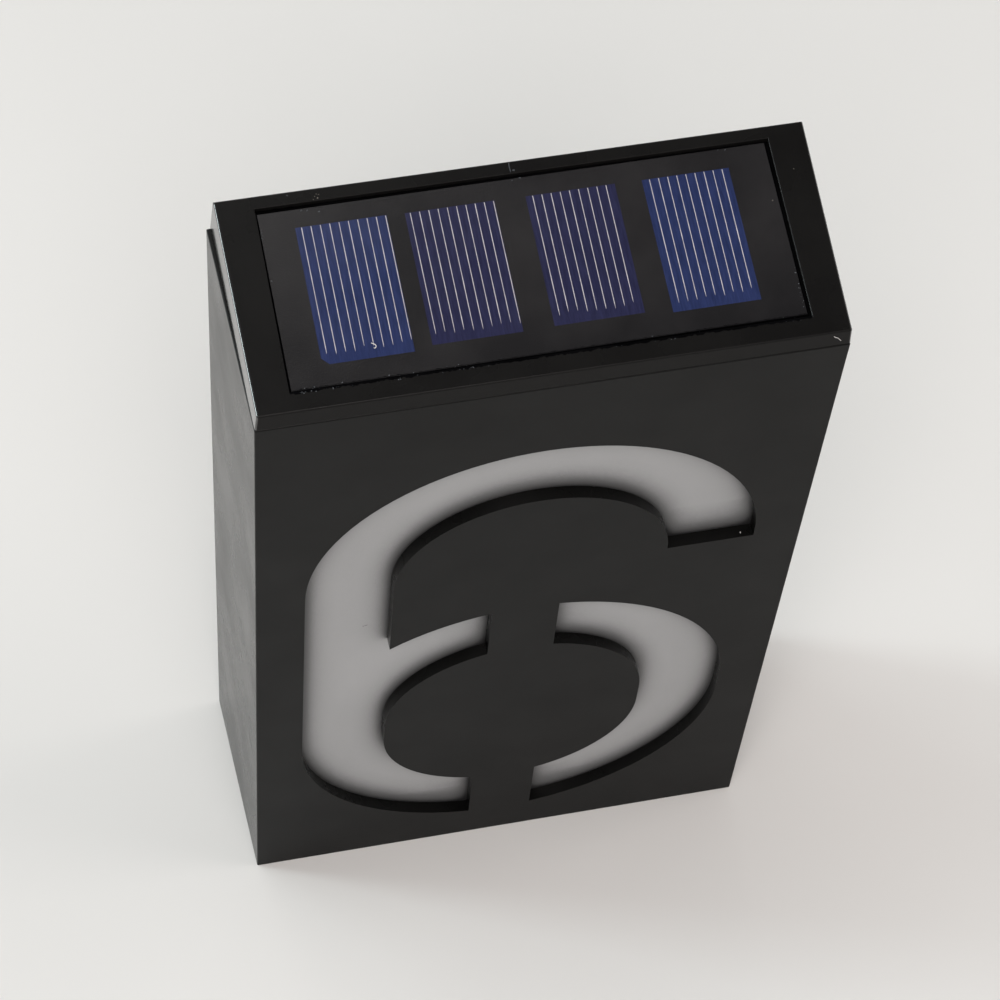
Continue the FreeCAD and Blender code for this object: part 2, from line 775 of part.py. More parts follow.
def screw(body, name, facing, seat, shank, length, head, head_height, up=1):
    """A cap screw across the sketch's plane; its head stands away from the seat by up."""
    stem = new_sketch(body, name + "_shank", facing, seat)
    facets(stem, "0", "0", shank, SHANK_SIDES, inside=True)
    cap = new_sketch(body, name + "_cap", facing, seat)
    facets(cap, "0", "0", head, HEAD_SIDES, inside=True)
    raised = list(seat)
    raised[SEAT_AXIS[facing]] += " %+g * %s / 2" % (up, head_height)
    drive = new_sketch(body, name + "_drive", facing, raised)
    facets(drive, "0", "0", "%s / 2" % head, DRIVE_SIDES, inside=True)
    return [pad(stem, length, -up), pad(cap, head_height, up), pocket(drive, head_height, up)]


def back_cover_screws():
    body = new_body("back_cover_screws", compound=True)
    corner = ("-(%s - boss_inset)" % HALF, "body_depth - counterbore_depth", "boss_inset")
    first = screw(
        body, "cover_screw", "front", corner,
        "(pilot_radius - thread_gap)", "cover_screw_length", "screw_head_radius", "screw_head_height",
    )
    repeat(
        body, first,
        "X_Axis", "front_width - 2 * boss_inset", 2,
        "Z_Axis", "front_height - 2 * boss_inset", 3,
    )


# --------------------------------------------------------------- solar head
def lid_frame():
    """Wedge lid: a drafted plan trimmed to the side profile, hollow underneath."""
    body = new_body("lid_frame")
    plan = new_sketch(body, "lid_plan", "top", ("0", "0", LID_LOW))
    spare = "body_depth"
    near = "(lid_front_width / 2 - %s)" % FLARE
    far = "(lid_front_width / 2 + 2 * %s)" % FLARE
    outline(plan, (
        ("-" + near, "-" + spare),
        (near, "-" + spare),
        (far, "2 * " + spare),
        ("-" + far, "2 * " + spare),
    ))
    pad(plan, "lid_front_height + body_depth / 2", 1, "-lid_lean")

    # cut away all that lies outside the wedge seen from the side
    trim = new_sketch(body, "lid_side", "side")
    rectangle(trim, "-2 * " + spare, "3 * " + spare, LID_LOW + " - body_depth", LID_HIGH + " + body_depth")
    outline(trim, (
        ("0", LID_LOW),
        ("body_depth", shell_top_at("body_depth")),
        ("body_depth", LID_HIGH + " + body_depth * tan(lid_slope)"),
        ("0", LID_HIGH),
    ))
    wedge = pocket(trim, "2 * front_width", 0)

    slope = math.tan(math.radians(size("lid_slope")))
    high = size("front_height") + size("lid_front_height")

    def on_top(edge):
        return all(abs(v.Z - high - v.Y * slope) < 0.01 for v in edge.Vertexes)

    def at_front(edge):
        return edge.BoundBox.YMax < 0.01 and edge.BoundBox.ZLength > edge.Length / 2

    dress("Fillet", wedge, lambda edge: on_top(edge) or at_front(edge), "lid_edge_round")

    # a shadow gap runs all round above the shell
    seam = new_sketch(body, "seam_groove", "top", placing=SHELL_TOP)
    rectangle(seam, "-front_width", "front_width", "-body_depth", "2 * body_depth")
    outline(seam, (
        ("-(lid_front_width / 2 - seam_depth)", "seam_depth"),
        ("lid_front_width / 2 - seam_depth", "seam_depth"),
        ("lid_back_width / 2 - seam_depth", "body_depth / cos(draft_angle) - seam_depth"),
        ("-(lid_back_width / 2 - seam_depth)", "body_depth / cos(draft_angle) - seam_depth"),
    ))
    pocket(seam, "seam_gap", 1)

    recess = new_sketch(body, "panel_recess", "top", placing=LID_TOP)
    block(recess, "recess_shift", "recess_front + recess_length / 2", "recess_width", "recess_length")
    sunk = pocket(recess, "recess_depth", -1)
    inboard = (size("front_width") - size("recess_margin")) / 2

    def at_recess(edge):
        return on_top(edge) and all(abs(v.X) < inboard for v in edge.Vertexes)

    dress("Fillet", sunk, at_recess, "recess_edge_round")

    hollow = new_sketch(body, "lid_hollow", "side")
    near = "tray_front + tray_wall"
    far = "tray_front + tray_width - tray_wall"
    outline(hollow, (
        (near, LID_LOW + " - side_wall"),
        (far, LID_LOW + " - side_wall"),
        (far, lid_ceiling_at(far)),
        (near, lid_ceiling_at(near)),
    ))
    pocket(hollow, "tray_length - 2 * tray_wall", 0)

    # bosses under the ceiling take the tray's screws
    for name, depth in (("near_bosses", POST_NEAR), ("far_bosses", POST_FAR)):
        bosses = new_sketch(body, name, "top", placing=SHELL_TOP)
        for x in ("-post_reach", "post_reach"):
            facets(bosses, x, depth, "tray_post_radius")
        drop = "(%s) - (%s)" % (lid_ceiling_at(depth), shell_top_at(depth))
        pad(bosses, drop + " + lid_ceiling / 2", 1)
    pilots = new_sketch(body, "boss_pilots", "top", ("0", "0", LID_LOW))
    for x, y in tray_post_places():
        facets(pilots, x, y, "pilot_radius")
    pocket(pilots, "tray_screw_length - tray_screw_seat + pilot_spare", 1)

    groove = new_sketch(body, "seal_groove", "top", placing=SHELL_TOP)
    seal_ring(groove)
    pocket(groove, "head_seal_thickness", 1)

    holes = new_sketch(body, "lead_holes", "top", placing=RECESS_FLOOR)
    for x in ("-(panel_lead_spacing / 2)", "panel_lead_spacing / 2"):
        facets(holes, x, "lead_hole_depth", "lead_hole_radius")
    pocket(holes, "2 * lid_ceiling", -1)


def seal_ring(sketch):
    """Two outlines round the shell's top opening."""
    for grow in ("head_seal_inset", "(head_seal_inset + head_seal_width)"):
        rectangle(
            sketch,
            "-(tray_length / 2 + tray_gap + %s)" % grow, "tray_length / 2 + tray_gap + " + grow,
            "tray_front - tray_gap - " + grow, "%s + tray_gap + %s" % (TRAY_BACK, grow),
        )


def head_seal():
    body = new_body("head_seal")
    ring = new_sketch(body, "head_seal_ring", "top", placing=SHELL_TOP)
    seal_ring(ring)
    pad(ring, "head_seal_thickness", 1)


def cell_corners(label):
    """The cell's rectangle on the board; the first cell has a clipped front left corner."""
    left, front = label + "_left", label + "_front"
    right, back = "%s + %s_width" % (left, label), "%s + %s_length" % (front, label)
    clipped = [(left + " + cell_clip", front), (left, front + " + cell_clip")]
    start = clipped if label == CELLS[0] else [(left, front)]
    return start + [(left, back), (right, back), (right, front)]


def solar_panel_board():
    body = new_body("solar_panel_board")
    base = new_sketch(body, "panel_base", "top", placing=PANEL_LOW)
    block(base, "0", "0", "panel_width", "panel_length")
    pad(base, "panel_thickness", 1)
    beds = new_sketch(body, "cell_beds", "top", placing=PANEL_HIGH)
    for label in CELLS:
        outline(beds, cell_corners(label))
    pocket(beds, "cell_thickness", -1)


def solar_cells():
    for label in CELLS:
        body = new_body(label)
        face = new_sketch(body, label + "_face", "top", placing=PANEL_HIGH)
        outline(face, cell_corners(label))
        pad(face, "cell_thickness", -1)


def panel_sealant():
    body = new_body("panel_sealant")
    bead = new_sketch(body, "sealant_bead", "top", placing=RECESS_FLOOR)
    block(
        bead, "recess_shift", "recess_front + recess_length / 2",
        "recess_width - 2 * sealant_gap", "recess_length - 2 * sealant_gap",
    )
    pad(bead, "sealant_height", 1)
    room = new_sketch(body, "sealant_room", "top", placing=PANEL_LOW)
    block(room, "0", "0", "panel_width + 2 * sealant_gap", "panel_length + 2 * sealant_gap")
    pocket(room, "panel_thickness", 1)


POST_HOLE_SIDES = 12


def head_tray():
    """Tub under the lid: battery bay, board posts, lamp holes, door hooks and switch slot."""
    body = new_body("head_tray")
    side = new_sketch(body, "tray_side", "side")
    outline(side, (
        ("tray_front", "tray_underside"),
        (TRAY_BACK, "tray_underside"),
        (TRAY_BACK, shell_top_at(TRAY_BACK)),
        ("tray_front", shell_top_at("tray_front")),
    ))
    pad(side, "tray_length", 0)
    room = new_sketch(body, "tray_room", "side")
    rectangle(
        room, "tray_front + tray_wall", TRAY_BACK + " - tray_wall",
        FLOOR_TOP, "front_height + body_depth",
    )
    pocket(room, "tray_length - 2 * tray_wall", 0)

    walls = new_sketch(body, "bay_walls", "top", ("0", "0", "tray_underside"))
    rectangle(
        walls,
        "compartment_left", BAY_RIGHT + " + compartment_wall",
        "tray_front + tray_wall / 2", "battery_axis_depth + half_bay + compartment_wall",
    )
    pad(walls, "tray_floor + compartment_height", 1)
    bay = new_sketch(body, "bay_opening", "top", ("0", "0", "tray_underside"))
    rectangle(
        bay, BAY_LEFT, BAY_RIGHT,
        "battery_axis_depth - half_bay", "battery_axis_depth + half_bay",
    )
    pocket(bay, "front_height - tray_underside", 1)

    # the side walls' top slopes, so posts start at the sloping plane and run down
    posts = new_sketch(body, "tray_posts", "top", placing=SHELL_TOP)
    for x, y in tray_post_places():
        facets(posts, x, y, "tray_post_radius")
    pad(posts, "front_height - tray_underside - tray_floor / 2", -1)
    for name, radius, start, depth in (
        ("post_holes", "tray_screw_clearance", "tray_underside", "front_height - tray_underside + side_wall"),
        ("post_bores", "counterbore_radius", "tray_underside", "front_height - tray_screw_seat - tray_underside"),
    ):
        holes = new_sketch(body, name, "top", ("0", "0", start))
        for x, y in tray_post_places():
            facets(holes, x, y, radius, POST_HOLE_SIDES)
        pocket(holes, depth, 1)

    lamps = new_sketch(body, "lamp_holes", "top", ("0", "0", "tray_underside"))
    for x in LAMP_PLACES:
        circle(lamps, x, "board_axis_depth", "led_radius + led_hole_gap")
    pocket(lamps, "tray_floor", 1)
    supports = new_sketch(body, "board_posts", "top", ("0", "0", "tray_underside + tray_floor / 2"))
    for x in BOARD_POSTS:
        facets(supports, x, "board_axis_depth", "board_post_radius")
    pad(supports, "%s - tray_underside - tray_floor / 2" % BOARD_LOW, 1)
    pilots = new_sketch(body, "board_pilots", "top", ("0", "0", BOARD_HIGH))
    for x in BOARD_POSTS:
        facets(pilots, x, "board_axis_depth", "small_screw_radius + thread_gap")
    pocket(pilots, "board_screw_length + pilot_spare", -1)

    slot = new_sketch(body, "switch_slot", "top", ("0", "0", "tray_underside"))
    block(
        slot, "switch_place", "switch_axis_depth",
        "slider_length + slider_travel + 2 * slider_gap", "slider_width + 2 * slider_gap",
    )
    pocket(slot, "tray_floor", 1)
    ears = new_sketch(body, "switch_pilots", "top", ("0", "0", FLOOR_TOP))
    for x in SWITCH_EARS:
        facets(ears, x, "switch_axis_depth", "small_screw_radius + thread_gap")
    pocket(ears, "tray_floor * 3 / 4", -1)
    door_hooks(body)


LAMP_PLACES = ("-led_reach", "-led_reach + led_pitch", "led_reach - led_pitch", "led_reach")
BOARD_POSTS = ("-(board_post_spacing / 2)", "board_post_spacing / 2")
SWITCH_EARS = (
    "switch_place - switch_length / 2 - ear_length / 2",
    "switch_place + switch_length / 2 + ear_length / 2",
)
HOOK_IN = "(half_door + hook_gap)"
HOOK_ROOM = "(half_tabs + hook_gap)"
HOOK_OUT = "(half_tabs + hook_gap + hook_wall)"
HOOK_SHELF = "tray_underside - door_gap - tab_thickness - door_gap"


def door_hooks(body):
    """Hooks under the tray that carry the door's tabs; each is closed at its left end."""
    hook = new_sketch(body, "door_hook", "side", (DOOR_LEFT + " + tab_start", "0", "0"))
    stop = new_sketch(body, "hook_stop", "side", (DOOR_LEFT + " + tab_start - door_gap", "0", "0"))
    for sign in ("-", "+"):
        reach = ["battery_axis_depth %s %s" % (sign, step) for step in (HOOK_IN, HOOK_ROOM, HOOK_OUT)]
        outline(hook, (
            (reach[2], "tray_underside"),
            (reach[1], "tray_underside"),
            (reach[1], HOOK_SHELF),
            (reach[0], HOOK_SHELF),
            (reach[0], HOOK_SHELF + " - hook_foot"),
            (reach[2], HOOK_SHELF + " - hook_foot"),
        ))
        outline(stop, (
            (reach[2], "tray_underside"),
            (reach[0], "tray_underside"),
            (reach[0], HOOK_SHELF + " - hook_foot"),
            (reach[2], HOOK_SHELF + " - hook_foot"),
        ))
    hooks = pad(hook, "tab_length", 1)
    stops = pad(stop, "hook_stop", -1)
    repeat(body, [hooks, stops], "X_Axis", "2 * tab_pitch", 3)


def head_tray_screws():
    body = new_body("head_tray_screws", compound=True)
    seat = ("-post_reach", POST_NEAR, "front_height - tray_screw_seat")
    first = screw(
        body, "tray_screw", "top", seat,
        "(pilot_radius - thread_gap)", "tray_screw_length", "screw_head_radius", "screw_head_height", -1,
    )
    repeat(
        body, first, "X_Axis", "2 * post_reach", 2,
        "Y_Axis", "tray_width - 2 * tray_wall - 2 * tray_post_inset", 2,
    )


# ----------------------------------------------------- battery and its door
NUB_SIDES = 16


def battery():
    body = new_body("battery")
    can = new_sketch(body, "battery_can", "side", (BATTERY_LEFT, "battery_axis_depth", BATTERY_HEIGHT))
    circle(can, "0", "0", "battery_diameter / 2")
    pad(can, "battery_length - nub_length", 1)
    nub = new_sketch(body, "battery_nub", "side", (BATTERY_RIGHT, "battery_axis_depth", BATTERY_HEIGHT))
    facets(nub, "0", "0", "nub_diameter / 2", NUB_SIDES, inside=True)
    pad(nub, "2 * nub_length", -1)


CONTACT_LOW = "tray_underside + tray_floor / 2"
CONTACT_HIGH = "tray_underside + tray_floor + compartment_height + contact_tab"


def battery_contacts():
    """A flat plate at the nub and a sprung leaf at the other end, both with a soldering tab."""
    plus = new_body("battery_contact_plus")
    plate = new_sketch(plus, "plus_plate", "front", ("0", "battery_axis_depth", "0"))
    rectangle(plate, BATTERY_RIGHT, BAY_RIGHT, CONTACT_LOW, CONTACT_HIGH)
    pad(plate, "contact_width", 0)
    minus = new_body("battery_contact_minus")
    leaf = new_sketch(minus, "minus_leaf", "front", ("0", "battery_axis_depth", "0"))
    inner = BAY_LEFT + " + contact_thickness"
    press = BATTERY_LEFT + " - contact_thickness"
    outline(leaf, (
        (BAY_LEFT, CONTACT_HIGH),
        (BAY_LEFT, CONTACT_LOW),
        (inner, CONTACT_LOW),
        (BATTERY_LEFT, BATTERY_HEIGHT + " - nub_length"),
        (BATTERY_LEFT, BATTERY_HEIGHT + " + nub_length"),
        (press, BATTERY_HEIGHT + " + nub_length"),
        (press, BATTERY_HEIGHT + " - nub_length"),
        (inner, CONTACT_LOW + " + nub_length"),
        (inner, CONTACT_HIGH),
    ))
    pad(leaf, "contact_width", 0)


def battery_door():
    body = new_body("battery_door")
    right = BAY_RIGHT + " + door_lap"
    plate = new_sketch(body, "door_plate", "top", ("0", "0", DOOR_TOP))
    rectangle(
        plate, DOOR_LEFT, right,
        "battery_axis_depth - half_door", "battery_axis_depth + half_door",
    )
    pad(plate, "door_thickness", -1)
    tab = new_sketch(body, "door_tab", "top", ("0", "0", DOOR_TOP))
    start = DOOR_LEFT + " + tab_start"
    rectangle(
        tab, start, start + " + tab_length",
        "battery_axis_depth - half_tabs", "battery_axis_depth + half_tabs",
    )
    repeat(body, [pad(tab, "tab_thickness", -1)], "X_Axis", "2 * tab_pitch", 3)
    grip = new_sketch(body, "door_grip", "top", ("0", "0", DOOR_TOP + " - door_thickness"))
    block(
        grip, right + " - 3 * door_grip_width", "battery_axis_depth",
        "door_grip_width", "battery_diameter",
    )
    ridge = pad(grip, "door_grip_height", -1)
    row = repeat(body, [ridge], "X_Axis", "4 * door_grip_pitch", 5)
    row.Reversed = True


# --------------------------------------------------------------- electronics
def control_board():
    body = new_body("control_board")
    face = new_sketch(body, "board_face", "top", ("0", "0", BOARD_LOW))
    block(face, "0", "board_axis_depth", "board_length", "board_width")
    for x in BOARD_POSTS:
        facets(face, x, "board_axis_depth", "small_screw_radius + 2 * thread_gap")
    pad(face, "board_thickness", 1)


def board_screws():
    body = new_body("board_screws", compound=True)
    first = screw(
        body, "board_screw", "top", (BOARD_POSTS[0], "board_axis_depth", BOARD_HIGH),
        "small_screw_radius", "board_screw_length", "small_head_radius", "small_head_height",
    )
    repeat(body, first, "X_Axis", "board_post_spacing", 2)


LAMP_SIDES = 16


def led_lamps():
    """Four lamps that look down, each with a narrowing tip, a flange and two legs."""
    body = new_body("led_lamps", compound=True)
    tip = "tray_underside - led_stand"
    base = "%s + led_length" % tip

    def round_at(name, height, radius):
        ring = new_sketch(body, name, "top", (LAMP_PLACES[0], "board_axis_depth", height))
        facets(ring, "0", "0", radius, LAMP_SIDES, inside=True)
        return ring

    shoulder = "%s + led_tip" % tip
    resin = pad(round_at("lamp_resin", shoulder, "led_radius"), "led_length - led_tip", 1)
    dome = pad(round_at("lamp_dome", shoulder, "led_radius"), "led_tip", -1, "-led_tip_taper")
    flange = pad(round_at("lamp_flange", base, "led_flange_radius"), "led_flange", -1)
    legs = new_sketch(body, "lamp_legs", "top", (LAMP_PLACES[0], "board_axis_depth", BOARD_LOW))
    for x in ("-(led_leg_pitch / 2)", "led_leg_pitch / 2"):
        block(legs, x, "0", "led_leg", "led_leg")
    pins = pad(legs, "%s - (%s)" % (BOARD_LOW, shoulder), -1)
    repeat(body, [resin, dome, flange, pins], "X_Axis", "2 * led_reach", 4)


def board_parts():
    for label in ("inductor", "capacitor"):
        body = new_body("board_" + label)
        base = new_sketch(body, label + "_base", "top", ("0", "0", BOARD_HIGH))
        circle(base, label + "_place", "component_depth", label + "_radius")
        pad(base, label + "_height", 1)
    chip = new_body("driver_chip")
    base = new_sketch(chip, "chip_base", "top", ("0", "0", BOARD_HIGH))
    block(base, "chip_place", "board_axis_depth", "chip_length", "chip_width")
    pad(base, "chip_height", 1)


def switch():
    """Slide switch on the tray's floor; its slider reaches down through the slot."""
    case = new_body("switch_body")
    base = new_sketch(case, "switch_base", "top", ("0", "0", FLOOR_TOP))
    block(base, "switch_place", "switch_axis_depth", "switch_length", "switch_width")
    pad(base, "switch_height", 1)
    ears = new_sketch(case, "switch_ears", "top", ("0", "0", FLOOR_TOP))
    block(ears, "switch_place", "switch_axis_depth", "switch_length + 2 * ear_length", "switch_width")
    pad(ears, "ear_thickness", 1)
    holes = new_sketch(case, "ear_holes", "top", ("0", "0", FLOOR_TOP))
    for x in SWITCH_EARS:
        facets(holes, x, "switch_axis_depth", "small_screw_radius + 2 * thread_gap")
    pocket(holes, "ear_thickness", 1)
    room = new_sketch(case, "slider_room", "top", ("0", "0", FLOOR_TOP))
    flange = "slider_width + 2 * slider_flange"
    block(
        room, "switch_place", "switch_axis_depth",
        "slider_length + slider_travel + 2 * slider_gap", flange + " + 2 * slider_gap",
    )
    pocket(room, "slider_flange_height + 2 * slider_gap", 1)

    slider = new_body("switch_slider")
    rest = "switch_place - slider_travel / 2"
    stem = new_sketch(slider, "slider_stem", "top", ("0", "0", "tray_underside - slider_stand"))
    block(stem, rest, "switch_axis_depth", "slider_length", "slider_width")
    pad(stem, "slider_stand + tray_floor + slider_flange_height", 1)
    top = new_sketch(slider, "slider_top", "top", ("0", "0", FLOOR_TOP + " + slider_gap"))
    block(top, rest, "switch_axis_depth", "slider_length", flange)
    pad(top, "slider_flange_height", 1)

    screws = new_body("switch_screws", compound=True)
    first = screw(
        screws, "switch_screw", "top", (SWITCH_EARS[0], "switch_axis_depth", FLOOR_TOP + " + ear_thickness"),
        "small_screw_radius", "switch_screw_length", "small_head_radius", "small_head_height",
    )
    repeat(screws, first, "X_Axis", "switch_length + ear_length", 2)


# --------------------------------------------------------------------- leads
LEAD_SIDES = 6
BEND_CHORDS = 4
BEND_SHARE = 0.45


def lead(label, points):
    """An insulated lead with flat sides: straight runs, and each bend in a few chords of an arc
    that touches both runs."""
    route = [FreeCAD.Vector(*[number(part) for part in point]) for point in points]
    path = [route[0]]
    for before, here, after in zip(route, route[1:], route[2:]):
        back, ahead = before - here, after - here
        half_turn = (math.pi - back.getAngle(ahead)) / 2
        reach = BEND_SHARE * min(back.Length, ahead.Length)
        back.normalize()
        ahead.normalize()
        radius = reach / math.tan(half_turn)
        middle = back + ahead
        middle.normalize()
        centre = here + middle * (radius / math.cos(half_turn))
        bend = Part.Arc(here + back * reach, centre - middle * radius, here + ahead * reach)
        path += bend.toShape().discretize(BEND_CHORDS + 1)
    path.append(route[-1])
    radius = size("lead_radius")
    turns = [2 * math.pi * step / LEAD_SIDES for step in range(LEAD_SIDES + 1)]
    around = [route[0] + FreeCAD.Vector(radius * math.cos(t), radius * math.sin(t), 0) for t in turns]
    piece = doc.addObject("Part::Feature", label)
    piece.Label = label
    piece.Shape = Part.makePolygon(path).makePipeShell([Part.makePolygon(around)], True, False, 1)
    place(piece)
    nodes.append(piece)


def leads():
    board = BOARD_HIGH
    panel = "%s + lead_hole_depth * sin(lid_slope) - recess_depth * cos(lid_slope) - lead_clearance" % LID_HIGH
    depth = "lead_hole_depth * cos(lid_slope) + recess_depth * sin(lid_slope)"
    for label, side in (("panel_lead_minus", "-"), ("panel_lead_plus", "")):
        x = side + "(panel_lead_spacing / 2)"
        arch = "%s + lead_arch" % board
        lead(label, ((x, depth, panel), (x, depth, arch), (x, LANDING, arch), (x, LANDING, board)))
    tab = CONTACT_HIGH
    for label, x, landing in (
        ("battery_lead_minus", BAY_LEFT + " + contact_thickness / 2", "minus_landing"),
        ("battery_lead_plus", BAY_RIGHT + " - contact_thickness / 2", "plus_landing"),
    ):
        arch = "%s + lead_arch / 2" % tab
        lead(label, (
            (x, "battery_axis_depth", tab),
            (x, "battery_axis_depth", arch),
            (landing, LANDING, arch),
            (landing, LANDING, board),
        ))
    switch_top = FLOOR_TOP + " + switch_height"
    for label, side in (("switch_lead_feed", "-"), ("switch_lead_return", "+")):
        x = "switch_place %s switch_lead_spacing / 2" % side
        landing = x + " - switch_lead_shift"
        arch = "%s + lead_arch" % board
        lead(label, (
            (x, "switch_axis_depth", switch_top),
            (x, "switch_axis_depth", arch),
            (landing, LANDING, arch),
            (landing, LANDING, board),
        ))


# --------------------------------------------------------------------- build
for build in (
    body_shell,
    diffuser_sheet,
    reflector_liner,
    back_cover,
    back_cover_seal,
    back_cover_screws,
    lid_frame,
    head_seal,
    solar_panel_board,
    solar_cells,
    panel_sealant,
    head_tray,
    head_tray_screws,
    battery,
    battery_contacts,
    battery_door,
    control_board,
    board_screws,
    led_lamps,
    board_parts,
    switch,
    leads,
):
    build()
doc.recompute()


def faults():
    """Everything that failed, is empty or invalid, or cut nothing."""
    for item in doc.Objects:
        if "Invalid" in item.State or "Error" in item.State:
            yield "%s: %s" % (item.Name, item.getStatusString())
        elif item.TypeId == "PartDesign::Pocket":
            if item.Shape.Volume > item.BaseFeature.Shape.Volume - 0.01:
                yield item.Name + ": cuts nothing"
    for node in nodes:
        if node.Shape.isNull() or not node.Shape.isValid() or not node.Shape.Solids:
            yield node.Label + ": no valid solid"


found = list(faults())
if found:
    raise RuntimeError("\n".join(found))
os.makedirs("parts", exist_ok=True)
for node in nodes:
    node.Shape.exportStep("parts/%s.step" % node.Label)
    print("%-24s %2d solids %10.2f mm3" % (node.Label, len(node.Shape.Solids), node.Shape.Volume))
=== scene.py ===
import math
import random

import bpy
from mathutils import Matrix, Vector

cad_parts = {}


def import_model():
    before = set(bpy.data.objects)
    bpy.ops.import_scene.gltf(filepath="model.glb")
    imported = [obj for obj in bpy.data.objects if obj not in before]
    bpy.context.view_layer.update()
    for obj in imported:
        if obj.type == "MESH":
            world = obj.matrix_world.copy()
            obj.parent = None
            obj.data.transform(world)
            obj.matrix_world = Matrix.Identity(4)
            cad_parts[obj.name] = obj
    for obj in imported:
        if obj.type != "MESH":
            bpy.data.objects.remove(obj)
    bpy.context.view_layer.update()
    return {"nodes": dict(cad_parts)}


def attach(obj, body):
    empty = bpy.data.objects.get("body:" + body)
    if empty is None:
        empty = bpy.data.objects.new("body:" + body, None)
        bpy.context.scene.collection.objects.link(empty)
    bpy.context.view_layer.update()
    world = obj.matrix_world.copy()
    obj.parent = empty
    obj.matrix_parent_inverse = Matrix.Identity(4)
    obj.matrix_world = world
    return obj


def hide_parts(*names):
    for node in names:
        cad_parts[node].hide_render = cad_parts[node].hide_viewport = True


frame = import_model()
NODES = frame["nodes"]

# lengths are metres: +X is to the viewer's right, +Y towards the wall and +Z up
MM = 0.001
DRAFT = math.radians(2.05)
HALF_DEPTH = 24.4 * MM
FRONT_FOOT = 2 * HALF_DEPTH * math.tan(DRAFT)
LID_SLOPE = math.radians(7.19)
PANEL_TURN = math.radians(0.25)

# axes whose third one stands on the lid's top, on the turned panel and on the front face
LID_AXES = Matrix.Rotation(LID_SLOPE, 3, "X")
FLAT_TURN = Matrix.Rotation(PANEL_TURN, 3, "Z")
PANEL_AXES = LID_AXES @ FLAT_TURN
FRONT_AXES = Matrix(((1, 0, 0), (0, 0, -1), (0, 1, 0)))


# ------------------------------------------------------------ shader nodes
# the parts of a noise's range over which a finish goes from one end to the other
NARROW = (0.35, 0.65)
WIDE = (0.30, 0.70)
UNIT = (0.0, 1.0)
FINE_DETAIL = 2.0


def new_material(name):
    """A new material, its node tree and its Principled shader."""
    material = bpy.data.materials.new(name)
    material.use_nodes = True
    tree = material.node_tree
    shader = next(n for n in tree.nodes if n.type == "BSDF_PRINCIPLED")
    return material, tree, shader


def node(tree, kind, **inputs):
    """A new node with values on its sockets; an underscore stands for a space."""
    made = tree.nodes.new(kind)
    for key, value in inputs.items():
        made.inputs[key.replace("_", " ")].default_value = value
    return made


def noise(tree, waves, detail=4.0, roughness=0.55, stretch=(1, 1, 1)):
    """Noise with so many waves to a metre of the object."""
    place = tree.nodes.new("ShaderNodeTexCoord")
    turn = node(tree, "ShaderNodeMapping", Scale=stretch)
    tree.links.new(place.outputs["Object"], turn.inputs["Vector"])
    made = node(tree, "ShaderNodeTexNoise", Scale=waves, Detail=detail, Roughness=roughness)
    tree.links.new(turn.outputs["Vector"], made.inputs["Vector"])
    return made.outputs["Fac"]


def ramp(tree, source, stops):
    """Colours for a value from 0 to 1; the stops are pairs of value and colour."""
    made = tree.nodes.new("ShaderNodeValToRGB")
    points = made.color_ramp.elements
    while len(points) < len(stops):
        points.new(0.5)
    for point, (place, colour) in zip(points, stops):
        point.position = place
        point.color = (*colour, 1.0)
    tree.links.new(source, made.inputs["Fac"])
    return made.outputs["Color"]


def tones(tree, source, dark, light, spread=NARROW):
    """Two colours spread over a part of a noise's range."""
    return ramp(tree, source, ((spread[0], dark), (spread[1], light)))


def mapped(tree, source, start, end):
    """A value brought from one range, a pair, to another."""
    made = node(
        tree, "ShaderNodeMapRange",
        From_Min=start[0], From_Max=start[1], To_Min=end[0], To_Max=end[1],
    )
    tree.links.new(source, made.inputs["Value"])
    return made.outputs["Result"]


def product(tree, first, second):
    made = tree.nodes.new("ShaderNodeMath")
    made.operation = "MULTIPLY"
    tree.links.new(first, made.inputs[0])
    tree.links.new(second, made.inputs[1])
    return made.outputs["Value"]


def normal_y(tree):
    """How far a face looks towards the wall (1) or away from it (-1)."""
    facing = tree.nodes.new("ShaderNodeNewGeometry")
    parts = tree.nodes.new("ShaderNodeSeparateXYZ")
    tree.links.new(facing.outputs["True Normal"], parts.inputs["Vector"])
    return parts.outputs["Y"]


def bump(tree, shader, source, distance):
    made = node(tree, "ShaderNodeBump", Distance=distance, Strength=1.0)
    tree.links.new(source, made.inputs["Height"])
    tree.links.new(made.outputs["Normal"], shader.inputs["Normal"])


# ---------------------------------------------------------------- materials
PLAIN_WAVES = 37.5
GRAIN_RATIO = 80
GRAIN_DEPTH = 0.02 * MM


def plain(
    name, dark, light, rough, metallic=0.0, ior=1.5, waves=PLAIN_WAVES, grain=GRAIN_DEPTH,
):
    """A finish whose colour and gloss wander a little, with a fine grain."""
    material, tree, shader = new_material(name)
    wander = noise(tree, waves)
    tree.links.new(tones(tree, wander, dark, light), shader.inputs["Base Color"])
    tree.links.new(mapped(tree, wander, WIDE, rough), shader.inputs["Roughness"])
    shader.inputs["Metallic"].default_value = metallic
    shader.inputs["IOR"].default_value = ior
    if grain:
        bump(tree, shader, noise(tree, waves * GRAIN_RATIO, FINE_DETAIL), grain)
    return material


SHELL_WAVES = 45.0
SHELL_GRAIN = 4000.0
SHELL_GRAIN_DEPTH = 0.012 * MM
# a normal's Y on the front face, and from where on a wall counts as a drawn side
FACE_TO_SIDE = (-0.95, -0.50)


